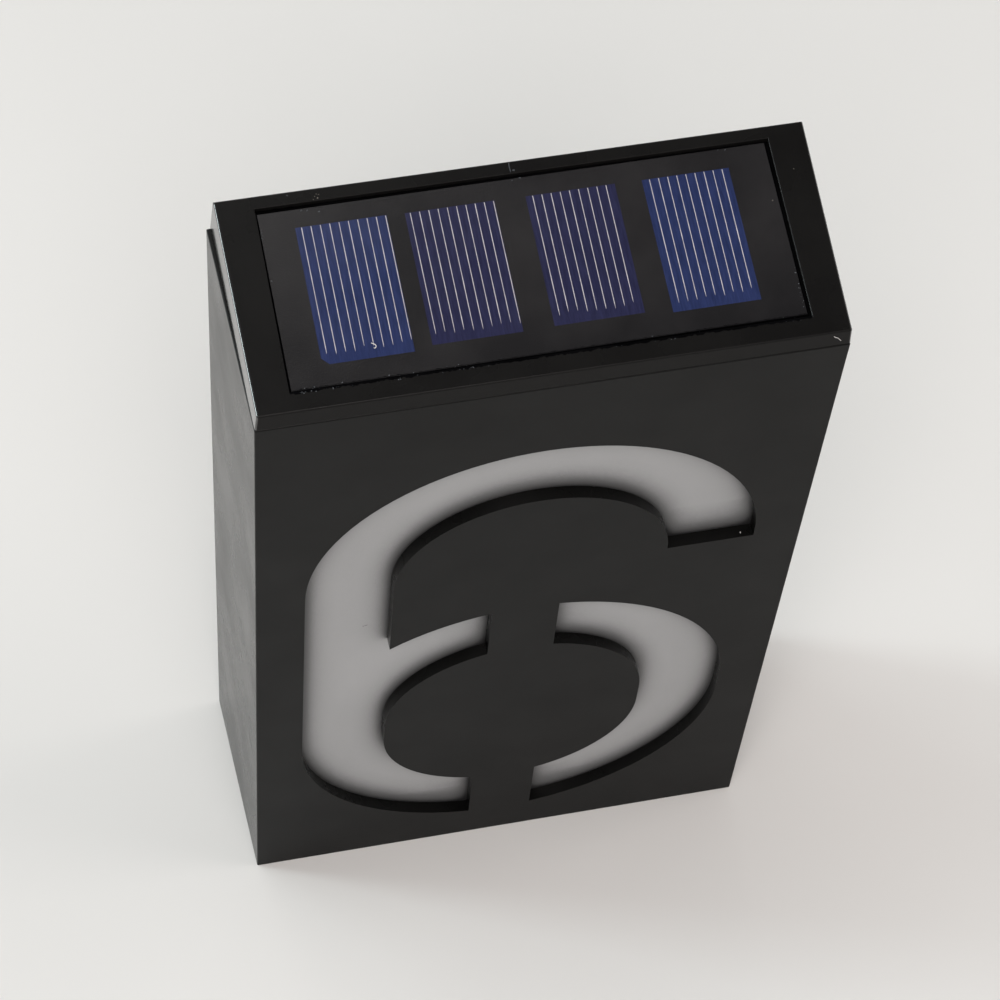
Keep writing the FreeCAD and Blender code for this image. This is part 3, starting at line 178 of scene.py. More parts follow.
def shell_plastic(name, dark, light, face_rough, side_rough, ior=1.27, coat=0.0):
    """Moulded black plastic; the front face's texture is coarser than the drawn sides'."""
    material, tree, shader = new_material(name)
    wander = noise(tree, SHELL_WAVES)
    tree.links.new(tones(tree, wander, dark, light), shader.inputs["Base Color"])
    gloss = tree.nodes.new("ShaderNodeMix")
    tree.links.new(mapped(tree, normal_y(tree), FACE_TO_SIDE, UNIT), gloss.inputs["Factor"])
    tree.links.new(mapped(tree, wander, WIDE, face_rough), gloss.inputs["A"])
    tree.links.new(mapped(tree, wander, WIDE, side_rough), gloss.inputs["B"])
    tree.links.new(gloss.outputs["Result"], shader.inputs["Roughness"])
    shader.inputs["IOR"].default_value = ior
    shader.inputs["Coat Weight"].default_value = coat
    bump(tree, shader, noise(tree, SHELL_GRAIN, FINE_DETAIL), SHELL_GRAIN_DEPTH)
    return material


OPAL_WAVES = 30.0
OPAL_GRAIN = 3000.0
OPAL_GRAIN_DEPTH = 0.003 * MM
OPAL_ROUGH = (0.36, 0.44)
OPAL_IOR = 1.4
OPENNESS_SAMPLES = 16
# painted shade of the sheet beside any wall of the cut: its reach, and pairs of openness and the
# share of colour kept
NEAR_REACH = 12.0 * MM
NEAR_PAINTED_SHADE = ((0.50, 0.12), (0.66, 0.50), (0.78, 0.63), (0.86, 0.79), (0.95, 0.92), (0.99, 1.0))
# further painted shade just above a wall, where the sheet lies less open to the front and below
BELOW_REACH = 13.0 * MM
BELOW_WAY = (0.0, -0.55, -0.835)
BELOW_PAINTED_SHADE = (
    (0.30, 0.50), (0.50, 0.48), (0.56, 0.50), (0.61, 0.62), (0.645, 0.80), (0.70, 0.97),
    (0.77, 1.0),
)


def painted_wall_shade(tree, reach, kept, way=None):
    """Painted shade: the share of its colour that a point of the sheet keeps, from how open it lies
    to all sides, or to one way."""
    near = node(tree, "ShaderNodeAmbientOcclusion", Distance=reach)
    near.samples = OPENNESS_SAMPLES
    if way:
        towards = node(tree, "ShaderNodeCombineXYZ", X=way[0], Y=way[1], Z=way[2])
        tree.links.new(towards.outputs["Vector"], near.inputs["Normal"])
    return ramp(tree, near.outputs["AO"], [(place, (share,) * 3) for place, share in kept])


def opal(name, dark, light):
    """Translucent sheet; near the black walls of the cut its colour is darkened as painted shade.
    """
    material, tree, shader = new_material(name)
    wander = noise(tree, OPAL_WAVES)
    body = tones(tree, wander, dark, light)
    # painted shade: the colour is multiplied darker beside the cut's walls, and more just above
    # them
    near = painted_wall_shade(tree, NEAR_REACH, NEAR_PAINTED_SHADE)
    below = painted_wall_shade(tree, BELOW_REACH, BELOW_PAINTED_SHADE, BELOW_WAY)
    mixed = tree.nodes.new("ShaderNodeMix")
    mixed.data_type = "RGBA"
    mixed.blend_type = "MULTIPLY"
    mixed.inputs["Factor"].default_value = 1.0
    first, second = (i for i in mixed.inputs if i.type == "RGBA")
    result = next(o for o in mixed.outputs if o.type == "RGBA")
    tree.links.new(body, first)
    tree.links.new(product(tree, near, below), second)
    tree.links.new(result, shader.inputs["Base Color"])
    tree.links.new(mapped(tree, wander, WIDE, OPAL_ROUGH), shader.inputs["Roughness"])
    shader.inputs["IOR"].default_value = OPAL_IOR
    bump(tree, shader, noise(tree, OPAL_GRAIN, FINE_DETAIL), OPAL_GRAIN_DEPTH)
    return material


STREAK_WAVES = 2200.0
STREAK_DETAIL = 3.0
STREAK_ROUGHNESS = 0.6
STREAK_STRETCH = (1.0, 0.10, 0.3)
STREAK_DARK = 0.80
STREAK_LIGHT = 1.22
CELL_WAVES = 120.0
CELL_ROUGH = (0.13, 0.20)
CELL_IOR = 1.45


def cell(name, colour):
    """Blue silicon under clear resin, with fine streaks along the cell."""
    material, tree, shader = new_material(name)
    streaks = noise(tree, STREAK_WAVES, STREAK_DETAIL, STREAK_ROUGHNESS, STREAK_STRETCH)
    dark = tuple(c * STREAK_DARK for c in colour)
    light = tuple(c * STREAK_LIGHT for c in colour)
    tree.links.new(tones(tree, streaks, dark, light, WIDE), shader.inputs["Base Color"])
    wander = noise(tree, CELL_WAVES)
    tree.links.new(mapped(tree, wander, WIDE, CELL_ROUGH), shader.inputs["Roughness"])
    shader.inputs["IOR"].default_value = CELL_IOR
    return material


# the black finishes' colours and IORs are low, fitted to the photograph's greys under the
# lamps at the end
BLACK_SHELL = shell_plastic(
    "black_shell", (0.0034, 0.0034, 0.0032), (0.0048, 0.0048, 0.0046),
    face_rough=(0.50, 0.58), side_rough=(0.24, 0.31), ior=1.24,
)
BLACK_LID = shell_plastic(
    "black_lid", (0.0062, 0.0059, 0.0058), (0.0082, 0.0078, 0.0076),
    face_rough=(0.60, 0.68), side_rough=(0.24, 0.31), ior=1.22,
)
BLACK_RIM = shell_plastic(
    "black_rim", (0.0050, 0.0048, 0.0047), (0.0068, 0.0065, 0.0063),
    face_rough=(0.16, 0.22), side_rough=(0.16, 0.22), ior=1.5, coat=0.45,
)
BLACK_TRAY = shell_plastic(
    "black_tray", (0.011, 0.011, 0.011), (0.015, 0.015, 0.014),
    face_rough=(0.45, 0.55), side_rough=(0.42, 0.55),
)
OPAL = opal("opal_sheet", (0.362, 0.362, 0.368), (0.384, 0.384, 0.390))
WHITE = plain("white_reflector", (0.80, 0.80, 0.79), (0.86, 0.86, 0.85), (0.28, 0.36))
SEAL = plain("seal_rubber", (0.018, 0.018, 0.018), (0.028, 0.028, 0.028), (0.65, 0.80))
STEEL = plain(
    "screw_steel", (0.50, 0.50, 0.52), (0.62, 0.62, 0.64), (0.24, 0.36), metallic=1.0,
)
NICKEL = plain(
    "spring_nickel", (0.60, 0.60, 0.61), (0.70, 0.70, 0.71), (0.16, 0.26), metallic=1.0,
)
PANEL = plain(
    "panel_laminate", (0.013, 0.0125, 0.0135), (0.020, 0.019, 0.020), (0.16, 0.24), ior=1.42,
)
SLEEVE = plain("battery_sleeve", (0.06, 0.22, 0.10), (0.08, 0.27, 0.13), (0.22, 0.32))
GREEN = plain("circuit_board", (0.015, 0.10, 0.04), (0.03, 0.15, 0.07), (0.30, 0.42))
LAMP = plain("lamp_resin", (0.72, 0.72, 0.62), (0.82, 0.82, 0.74), (0.10, 0.18))
EPOXY = plain("component_black", (0.016, 0.016, 0.017), (0.026, 0.026, 0.028), (0.40, 0.55))
CAN = plain(
    "capacitor_can", (0.55, 0.56, 0.58), (0.66, 0.67, 0.69), (0.25, 0.38), metallic=1.0,
)
PLATED = plain(
    "switch_plate", (0.52, 0.52, 0.50), (0.64, 0.64, 0.62), (0.26, 0.38), metallic=1.0,
)
RED = plain("red_lead", (0.34, 0.014, 0.014), (0.44, 0.03, 0.028), (0.38, 0.50))
DARK = plain("black_lead", (0.014, 0.014, 0.014), (0.022, 0.022, 0.022), (0.38, 0.50))
# near-black and barely reflecting: partly the sealant's colour, partly painted shade of the deep
# gap round the board; also the films' finish
SEALANT_AND_GAP_SHADE = plain(
    "sealant_bead", (0.0009, 0.0009, 0.0011), (0.0020, 0.0020, 0.0024), (0.30, 0.50),
    ior=1.06, waves=112.5,
)
CELL_BLUE = cell("cell_blue", (0.0206, 0.0298, 0.0897))
CELL_VIOLET = cell("cell_violet", (0.0206, 0.0215, 0.0560))
BLUE_CELLS = ("solar_cell_1", "solar_cell_4")

# finishes of the small pieces that are made here; they are too small to show a grain
MARK_WAVES = 375.0
SILVER = plain(
    "finger_silver", (0.36, 0.34, 0.37), (0.50, 0.48, 0.51), (0.35, 0.5), waves=312.5, grain=0,
)
FLECK = plain(
    "sealant_fleck", (0.012, 0.014, 0.016), (0.12, 0.13, 0.145), (0.15, 0.35),
    waves=1125.0, grain=0,
)
FIBRE = plain(
    "dust_fibre", (0.62, 0.61, 0.60), (0.76, 0.75, 0.74), (0.5, 0.7), waves=MARK_WAVES, grain=0,
)
DUST = plain(
    "dust_speck", (0.06, 0.052, 0.045), (0.16, 0.14, 0.12), (0.6, 0.8), waves=MARK_WAVES, grain=0,
)
HAZE = plain(
    "rub_mark", (0.022, 0.025, 0.030), (0.050, 0.056, 0.066), (0.5, 0.7), waves=MARK_WAVES, grain=0,
)
SOOT = plain(
    "sheet_speck", (0.16, 0.16, 0.16), (0.20, 0.20, 0.20), (0.5, 0.7), waves=MARK_WAVES, grain=0,
)

FINISH = {
    "body_shell": BLACK_SHELL,
    "back_cover": BLACK_SHELL,
    "lid_frame": BLACK_LID,
    "head_tray": BLACK_TRAY,
    "battery_door": BLACK_TRAY,
    "diffuser_sheet": OPAL,
    "reflector_liner": WHITE,
    "back_cover_seal": SEAL,
    "head_seal": SEAL,
    "solar_panel_board": PANEL,
    "panel_sealant": SEALANT_AND_GAP_SHADE,
    "battery": SLEEVE,
    "control_board": GREEN,
    "led_lamps": LAMP,
    "board_inductor": EPOXY,
    "driver_chip": EPOXY,
    "switch_slider": EPOXY,
    "board_capacitor": CAN,
    "switch_body": PLATED,
    "battery_contact_plus": NICKEL,
    "battery_contact_minus": NICKEL,
}
for label, thing in NODES.items():
    if label.startswith("solar_cell"):
        finish = CELL_BLUE if label in BLUE_CELLS else CELL_VIOLET
    elif label.endswith("_screws"):
        finish = STEEL
    elif "_lead_" in label:
        finish = DARK if label.endswith("minus") else RED
    else:
        finish = FINISH[label]
    thing.data.materials.clear()
    thing.data.materials.append(finish)

# the lid's drawn side walls and the rounds above them are polished
RIM_FROM = 60.8 * MM
RIM_LEAN = 0.3
rim = NODES["lid_frame"].data
rim.materials.append(BLACK_RIM)
for face in rim.polygons:
    if abs(face.normal.x) > RIM_LEAN and abs(face.center.x) > RIM_FROM:
        face.material_index = 1


# ------------------------------------------------------------- small shapes
def extent(label, axes):
    """Lowest and highest corner of a node, seen along the given axes."""
    inward = axes.transposed()
    places = [inward @ v.co for v in NODES[label].data.vertices]
    low = Vector([min(p[i] for p in places) for i in range(3)])
    high = Vector([max(p[i] for p in places) for i in range(3)])
    return low, high


def piece(name, vertices, faces, finish, body, smooth=False):
    """A visible piece that rides on a body."""
    mesh = bpy.data.meshes.new(name)
    mesh.from_pydata([tuple(v) for v in vertices], [], faces)
    mesh.update()
    made = bpy.data.objects.new(name, mesh)
    bpy.context.scene.collection.objects.link(made)
    mesh.materials.append(finish)
    if smooth:
        mesh.polygons.foreach_set("use_smooth", [True] * len(mesh.polygons))
    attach(made, body)
    return made


def between(a, b, share):
    return a + (b - a) * share


def wobble(draw, waves, slow, fast):
    """A smooth wandering value between about -1 and 1 along a line; slow and fast are in
    radians to a metre."""
    parts = [(draw.uniform(slow, fast), draw.uniform(0, 2 * math.pi)) for _ in range(waves)]
    return lambda t: sum(math.sin(rate * t + start) for rate, start in parts) / math.sqrt(waves)


def tube(rows, size, start=0, flip=False):
    """Faces of a closed tube from rows of as many corners, the first of them number start."""
    faces = []
    for row in range(rows - 1):
        for k in range(size):
            a = start + row * size + k
            b = start + row * size + (k + 1) % size
            if flip:
                a, b = b, a
            faces.append((a, b, b + size, a + size))
    last = start + (rows - 1) * size
    ends = [tuple(range(start + size - 1, start - 1, -1)), tuple(range(last, last + size))]
    return faces + ([tuple(reversed(end)) for end in ends] if flip else ends)


FLAKE_CORNERS = 6
FLAKE_OUTLINE = (0.6, 1.1)
FLAKE_HEIGHT = (0.7, 1.2)
FLAKE_TOP = 0.7


def flake(draw, centre, across, thick, turn, long):
    """Corners and faces of a small flat chip with an uneven outline."""
    ring = []
    for k in range(FLAKE_CORNERS):
        angle = 2 * math.pi * k / FLAKE_CORNERS
        reach = across / 2 * draw.uniform(*FLAKE_OUTLINE)
        x, y = reach * long * math.cos(angle), reach * math.sin(angle)
        ring.append((
            x * math.cos(turn) - y * math.sin(turn),
            x * math.sin(turn) + y * math.cos(turn),
        ))
    points = [centre + Vector((x, y, 0)) for x, y in ring]
    for x, y in ring:
        top = Vector((x * FLAKE_TOP, y * FLAKE_TOP, thick * draw.uniform(*FLAKE_HEIGHT)))
        points.append(centre + top)
    return points, tube(2, FLAKE_CORNERS)


def chips(name, flakes, axes, finish, body):
    """One piece from many chips; axes turn their flat side to the surface they lie on."""
    vertices, faces = [], []
    for points, sides in flakes:
        start = len(vertices)
        vertices += [axes @ p for p in points]
        faces += [tuple(start + k for k in side) for side in sides]
    piece(name, vertices, faces, finish, body)


THREAD_SIDES = 5
THREAD_TIP = 0.6
BEND_STEPS = 4


def thread(path, radius):
    """Corners and faces of a fine round thread along a path."""
    vertices = []
    ends = (0, len(path) - 1)
    for k, place in enumerate(path):
        ahead = (path[min(k + 1, ends[1])] - path[max(k - 1, 0)]).normalized()
        side = ahead.cross(Vector((0, 0, 1))).normalized()
        up = side.cross(ahead)
        thin = radius * (THREAD_TIP if k in ends else 1.0)
        for step in range(THREAD_SIDES):
            angle = 2 * math.pi * step / THREAD_SIDES
            vertices.append(place + (side * math.cos(angle) + up * math.sin(angle)) * thin)
    return vertices, tube(len(path), THREAD_SIDES)


def bend(points):
    """A smooth path through the points."""
    path = [Vector(p) for p in points]
    ends = [path[0] * 2 - path[1]] + path + [path[-1] * 2 - path[-2]]
    made = []
    for a, b, c, d in zip(ends, ends[1:], ends[2:], ends[3:]):
        for step in range(BEND_STEPS):
            t = step / BEND_STEPS
            made.append((b * 2 + (c - a) * t + (a * 2 - b * 5 + c * 4 - d) * t * t
                         + (b * 3 - a - c * 3 + d) * t ** 3) * 0.5)
    return made + [path[-1]]


# ------------------------------------------------------------- solar panel
LID_TOP = extent("lid_frame", LID_AXES)[1].z
WALL_LOW, WALL_HIGH = extent("panel_sealant", LID_AXES)
BOARD_LOW, BOARD_HIGH = extent("solar_panel_board", PANEL_AXES)
PANEL_TOP = BOARD_HIGH.z


def on_board(x, y, z=0.0):
    """A place given in the turned board's axes, in those of the lid."""
    return FLAT_TURN @ Vector((x, y, z))


FINGER_PITCH = 1.953 * MM
FINGER_HALF_WIDTH = 0.088 * MM
FINGER_HEIGHT = 0.02 * MM
FINGER_START = 0.1 * MM
FINGER_STATION = 1.5 * MM
FINGER_LAST_STATION = 2.0 * MM
# how far from the cell's front edge a finger ends, and how much sooner it starts to fade, in mm
FINGER_END = (1.9, 2.9)
FINGER_FADE = (0.8, 1.6)
# shares of the half width: how it varies along a finger, where it fades, its tip and its top
FINGER_WIDTHS = (0.85, 1.12)
FINGER_FADE_WIDTH = 0.9
FINGER_TIP_WIDTH = 0.3
FINGER_TOP = 0.8
# each cell's printed fingers: how many, and the first one's distance from the left edge
FINGERS = {
    "solar_cell_1": (10, 1.32 * MM),
    "solar_cell_2": (10, 1.13 * MM),
    "solar_cell_3": (9, 1.50 * MM),
    "solar_cell_4": (9, 1.63 * MM),
}


def fingers(label, draw):
    """Silver lines that start at the cell's back edge and thin out before its front edge."""
    low, high = extent(label, PANEL_AXES)
    count, first = FINGERS[label]
    vertices, faces = [], []
    for step in range(count):
        x = low.x + first + step * FINGER_PITCH
        end = low.y + draw.uniform(*FINGER_END) * MM
        fade = end + draw.uniform(*FINGER_FADE) * MM
        stations = [(high.y - FINGER_START, FINGER_HALF_WIDTH)]
        while stations[-1][0] - FINGER_LAST_STATION > fade:
            half = FINGER_HALF_WIDTH * draw.uniform(*FINGER_WIDTHS)
            stations.append((stations[-1][0] - FINGER_STATION, half))
        stations.append((fade, FINGER_HALF_WIDTH * FINGER_FADE_WIDTH))
        stations.append((end, FINGER_HALF_WIDTH * FINGER_TIP_WIDTH))
        faces += tube(len(stations), 4, len(vertices))
        for y, half in stations:
            top = half * FINGER_TOP
            for side, z in (
                (-half, 0.0), (-top, FINGER_HEIGHT), (top, FINGER_HEIGHT), (half, 0.0),
            ):
                vertices.append(PANEL_AXES @ Vector((x + side, y, high.z + z)))
    piece(label + "_fingers", vertices, faces, SILVER, "solar_head")


FIRST_FINGER_SEED = 11
for number, label in enumerate(FINGERS):
    fingers(label, random.Random(FIRST_FINGER_SEED + number))

BEAD_STEP = 0.4 * MM
# the recess's sides in order: each one's first corner as low or high in X and Y
CORNERS = ((0, 0), (1, 0), (1, 1), (0, 1))
FRONT_SIDE, BACK_SIDE = 0, 2
# the bead's three wandering values: how many waves, and their slowest and fastest rates
SAG = (5, 400.0, 2500.0)
CLIMB = (6, 900.0, 6000.0)
ROUGH = (7, 3000.0, 14000.0)
# the bead's hollow and its edge on the board, in mm above the recess: a height, then how much
# of each wandering value is added
HOLLOW, HOLLOW_SAG = 0.42, 0.10
EDGE, EDGE_CLIMB, EDGE_ROUGH = 0.80, 0.20, 0.10
# at the front the hollow is lower and the edge reaches the board's top; at the back both sink
FRONT_SINK, FRONT_EDGE_GAP, FRONT_EDGE_CLIMB = 0.15, 0.02, 0.10
BACK_SINK, BACK_EDGE_SINK = 0.22, 0.35
EDGE_LIMIT = 0.06 * MM
# lumps tilt the hollow; it climbs a little at the recess's wall and in its middle, and has a
# shoulder this share of the way up to the edge
LUMP, LUMP_RATE = 0.05, 1.3
WALL_RISE = 0.16 * MM
HOLLOW_RISE = 0.04 * MM
SHOULDER = 0.45
# where the bead's five upper corners lie on the way from the recess's wall to the board
STATIONS = (0.0, 0.22, 0.55, 0.82, 0.985)


def sealant_bead(draw):
    """A ragged bead of sealant in the gap between the board and the walls of its recess, near-black
    as painted shade of the deep gap; gives back its cross-sections."""
    floor_z = BOARD_LOW.z
    wall = [
        Vector(((WALL_LOW.x, WALL_HIGH.x)[i], (WALL_LOW.y, WALL_HIGH.y)[j])) for i, j in CORNERS
    ]
    board = [
        on_board((BOARD_LOW.x, BOARD_HIGH.x)[i], (BOARD_LOW.y, BOARD_HIGH.y)[j]).to_2d()
        for i, j in CORNERS
    ]
    sag, climb, rough = wobble(draw, *SAG), wobble(draw, *CLIMB), wobble(draw, *ROUGH)
    rings, along = [], 0.0
    for side in range(len(CORNERS)):
        after = (side + 1) % len(CORNERS)
        steps = int((wall[after] - wall[side]).length / BEAD_STEP)
        for step in range(steps):
            outer = between(wall[side], wall[after], step / steps)
            inner = between(board[side], board[after], step / steps)
            along += BEAD_STEP
            base = floor_z + (HOLLOW + HOLLOW_SAG * sag(along)) * MM
            edge = floor_z + (EDGE + EDGE_CLIMB * climb(along) + EDGE_ROUGH * rough(along)) * MM
            if side == FRONT_SIDE:
                base -= FRONT_SINK * MM
                edge = PANEL_TOP - (FRONT_EDGE_GAP + FRONT_EDGE_CLIMB * abs(climb(along))) * MM
            elif side == BACK_SIDE:
                base, edge = base - BACK_SINK * MM, edge - BACK_EDGE_SINK * MM
            edge = min(edge, PANEL_TOP + EDGE_LIMIT)
            lump = LUMP * rough(along * LUMP_RATE) * MM
            heights = (
                base + WALL_RISE, base + lump, base + HOLLOW_RISE - lump,
                between(base, edge, SHOULDER), edge,
            )
            ring = [(*outer, floor_z)]
            ring += [(*between(outer, inner, part), z) for part, z in zip(STATIONS, heights)]
            ring.append((*between(outer, inner, STATIONS[-1]), floor_z))
            rings.append(ring)
    size = len(rings[0])
    vertices = [LID_AXES @ Vector(p) for ring in rings for p in ring]
    faces = []
    for row in range(len(rings)):
        here, there = row * size, (row + 1) % len(rings) * size
        for k in range(size):
            after = (k + 1) % size
            faces.append((here + k, there + k, there + after, here + after))
    made = piece("sealant_bead", vertices, faces, SEALANT_AND_GAP_SHADE, "solar_head", smooth=True)
    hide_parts("panel_sealant")
    return rings


# where crumbs of sealant lie: the board's edge, from and to in mm from the left end of the
# front and back edges or from the back end of the side edges, and how many
CRUMBS = (
    ("front", 1.6, 4.6, 14), ("front", 4.6, 12.2, 20), ("front", 12.2, 25.0, 8),
    ("front", 25.0, 43.5, 26), ("front", 66.5, 68.0, 3), ("front", 73.0, 85.5, 9),
    ("front", 102.5, 107.5, 6), ("left", 2.6, 9.0, 11), ("left", 12.0, 30.0, 4),
    ("right", 29.0, 38.5, 12), ("back", 97.0, 99.5, 3), ("back", 52.0, 58.0, 3),
)
CRUMB_ACROSS = (0.10, 0.26)
CRUMB_INBOARD = (0.05, 0.45)
CRUMB_STRETCH = (1.0, 2.2)
CRUMB_THICK = 0.07 * MM
# of the crumbs at the front edge: the share that leaves the board for a corner of the bead,
# and the share of those that ends on the lid's front rail, so many mm before the recess
ON_BEAD = 0.85
BEAD_CORNERS = (1, 2, 4, 5)
ON_RAIL = 0.5
RAIL_GAP = (0.20, 0.60)


def by_edge(edge, along, inboard):
    """A place on the board's top beside one of its edges."""
    if edge == "front":
        x, y = BOARD_LOW.x + along, BOARD_LOW.y + inboard
    elif edge == "back":
        x, y = BOARD_LOW.x + along, BOARD_HIGH.y - inboard
    elif edge == "left":
        x, y = BOARD_LOW.x + inboard, BOARD_HIGH.y - along
    else:
        x, y = BOARD_HIGH.x - inboard, BOARD_HIGH.y - along
    return on_board(x, y, PANEL_TOP)


def sealant_flecks(draw, rings):
    """Paler crumbs of sealant on the bead, the board's edges and the lid's front rail."""
    flakes = []
    for edge, start, stop, count in CRUMBS:
        for _ in range(count):
            along = draw.uniform(start, stop) * MM
            across = draw.uniform(*CRUMB_ACROSS) * MM
            inboard = draw.uniform(*CRUMB_INBOARD) * MM
            spot = by_edge(edge, along, inboard)
            if edge == "front" and draw.random() < ON_BEAD:
                near = min(rings, key=lambda r: abs(r[0][0] - spot.x) + abs(r[-1][1] - spot.y))
                spot = Vector(near[draw.choice(BEAD_CORNERS)])
                if draw.random() < ON_RAIL:
                    spot = Vector((spot.x, near[0][1] - draw.uniform(*RAIL_GAP) * MM, LID_TOP))
            stretch = draw.uniform(*CRUMB_STRETCH)
            turn = draw.uniform(0, math.pi)
            flakes.append(flake(draw, spot, across, CRUMB_THICK, turn, stretch))
    chips("sealant_flecks", flakes, LID_AXES, FLECK, "solar_head")


FILM_STEP = 0.35 * MM
FILM_SLOW = (6, 500.0, 5000.0)
FILM_FAST = (6, 4000.0, 15000.0)
FILM_LEAST = 0.02
# a film's corners in mm: how far out from the edge, whether its reach is added, and the
# height above the surface
FILM_SECTION = (
    (-0.15, 0, -0.06), (0.12, 0, 0.008), (0.12, 1, 0.010), (0.13, 1, -0.02), (-0.15, 0, -0.12),
)


def sealant_and_shade_film(name, draw, start, stop, out, level, reach, slow_reach, fast_reach):
    """A thin dark film with a ragged rim along an edge, partly sealant and partly painted shade of
    the gap; start and stop are the edge's ends, out is the way that the film runs over the surface
    at that level, and the reaches, in mm, are its mean and how much each wandering value adds."""
    slow, fast = wobble(draw, *FILM_SLOW), wobble(draw, *FILM_FAST)
    steps = int((stop - start).length / FILM_STEP)
    vertices = []
    for step in range(steps + 1):
        place = between(start, stop, step / steps)
        far = reach + slow_reach * slow(place.x) + fast_reach * fast(place.x)
        far = max(FILM_LEAST, far) * MM
        for run, added, height in FILM_SECTION:
            spot = place + out * (run * MM + added * far)
            vertices.append(LID_AXES @ Vector((spot.x, spot.y, level + height * MM)))
    faces = tube(steps + 1, len(FILM_SECTION), flip=out.y < 0)
    piece(name, vertices, faces, SEALANT_AND_GAP_SHADE, "solar_head")


BEAD_SEED, FLECK_SEED, LID_FILM_SEED, BOARD_FILM_SEED = 5, 8, 3, 4
sealant_flecks(random.Random(FLECK_SEED), sealant_bead(random.Random(BEAD_SEED)))
# dark films along the recess's front edge on the lid and the board: partly sealant, partly painted
# shade widening the gap's dark band
sealant_and_shade_film(
    "sealant_shade_film_on_lid", random.Random(LID_FILM_SEED),
    WALL_LOW.to_2d(), Vector((WALL_HIGH.x, WALL_LOW.y)),
    Vector((0, -1)), LID_TOP, reach=0.28, slow_reach=0.15, fast_reach=0.09,
)
sealant_and_shade_film(
    "sealant_shade_film_on_board", random.Random(BOARD_FILM_SEED),
    on_board(BOARD_LOW.x, BOARD_LOW.y).to_2d(), on_board(BOARD_HIGH.x, BOARD_LOW.y).to_2d(),
    Vector((0, 1)), PANEL_TOP, reach=0.02, slow_reach=0.10, fast_reach=0.06,
)


# -------------------------------------------------------- dust and small marks
FRONT_EDGE = (LID_TOP * math.sin(LID_SLOPE) - HALF_DEPTH) / math.cos(LID_SLOPE)
SHEET_BEHIND = 3.0
ON_LID = (LID_AXES, "solar_head", "sealant")
ON_FRONT_STRIP = (FRONT_AXES, "solar_head", "sealant")
ON_SHEET = (FRONT_AXES, "shell", "opal_plastic")
ON_CUT_WALL = (Matrix.Identity(3), "shell", "shell_plastic")
CUT_WALL_PLACE = Vector((48.63 * MM, 1.11 * MM - HALF_DEPTH, FRONT_FOOT + 140.8 * MM))
DUST_SEED, HAZE_SEED, CHIP_SEED, SOOT_SEED, CRUMB_SEED = 21, 22, 23, 24, 25


def on_slope(x, rise, level, lift=0.0):
    """A place on the lid: mm from its middle and mm up the slope from its front edge."""
    return Vector((x * MM, FRONT_EDGE + rise * MM, level + lift * MM))


def on_front(x, height, behind):
    """A place behind the front face: mm from the middle and above its lower edge."""
    return Vector((x * MM, FRONT_FOOT + height * MM, HALF_DEPTH - behind * MM))


def specks(name, spots, finish, seed, axes, body, slot, thick=0.05, long=1.3):
    """Small flat specks: each spot is its centre and its width in mm."""
    draw = random.Random(seed)
    flakes = [
        flake(draw, centre, width * MM, thick * MM, draw.uniform(0, math.pi), long)
        for centre, width in spots
    ]
    chips(name, flakes, axes, finish, body)


def fibre(name, points, radius, finish, axes, body, slot):
    """A fine thread through the points, with its radius in mm."""
    vertices, faces = thread(bend(points), radius * MM)
    piece(name, [axes @ v for v in vertices], faces, finish, body, smooth=True)


specks("lid_dust", (
    (on_slope(-41.36, 46.68, LID_TOP), 0.34), (on_slope(-41.91, 47.12, LID_TOP), 0.20),
    (on_slope(-41.51, 47.64, LID_TOP), 0.20), (on_slope(-41.02, 47.45, LID_TOP), 0.18),
    (on_slope(-42.24, 46.47, LID_TOP), 0.18), (on_slope(58.34, 38.27, LID_TOP), 0.22),
    (on_slope(52.38, 31.90, PANEL_TOP), 0.36), (on_slope(-20.82, 16.59, PANEL_TOP), 0.34),
), DUST, DUST_SEED, *ON_LID)
specks("lid_haze", (
    (on_slope(-47.46, 48.20, LID_TOP), 0.40), (on_slope(0.05, 46.85, LID_TOP), 0.45),
    (on_slope(-41.55, 43.77, PANEL_TOP), 0.40), (on_slope(-45.11, 44.60, PANEL_TOP), 0.45),
    (on_slope(-43.93, 44.40, PANEL_TOP), 0.35),
), HAZE, HAZE_SEED, *ON_LID, thick=0.02, long=1.6)
specks("edge_chip", (
    (on_slope(1.04, 45.10, PANEL_TOP), 0.42),
), FLECK, CHIP_SEED, *ON_LID)
fibre("rail_rub", (
    on_slope(-0.66, 48.75, LID_TOP), on_slope(-0.73, 47.72, LID_TOP),
    on_slope(-0.67, 46.45, LID_TOP),
), 0.10, HAZE, *ON_LID)
fibre("cell_fibre", (
    on_slope(-36.34, 12.80, PANEL_TOP, 0.07), on_slope(-35.94, 12.54, PANEL_TOP, 0.09),
    on_slope(-35.52, 12.22, PANEL_TOP, 0.08), on_slope(-35.48, 11.80, PANEL_TOP, 0.07),
    on_slope(-35.75, 11.54, PANEL_TOP, 0.06), on_slope(-35.97, 11.66, PANEL_TOP, 0.05),
), 0.08, FIBRE, *ON_LID)
fibre("strip_fibre", (
    on_front(58.21, 223.70, -0.03), on_front(58.64, 223.24, -0.03),
    on_front(59.25, 222.77, -0.04), on_front(59.80, 221.92, -0.03),
    on_front(60.08, 221.50, -0.03),
), 0.07, FIBRE, *ON_FRONT_STRIP)
specks("sheet_specks", (
    (on_front(-37.20, 119.74, SHEET_BEHIND), 0.42),
    (on_front(-36.70, 119.95, SHEET_BEHIND), 0.46),
    (on_front(-36.35, 120.10, SHEET_BEHIND), 0.34),
), SOOT, SOOT_SEED, *ON_SHEET, thick=0.02)
specks("wall_crumb", (
    (CUT_WALL_PLACE, 0.42),
), FIBRE, CRUMB_SEED, *ON_CUT_WALL, thick=0.2, long=1.0)


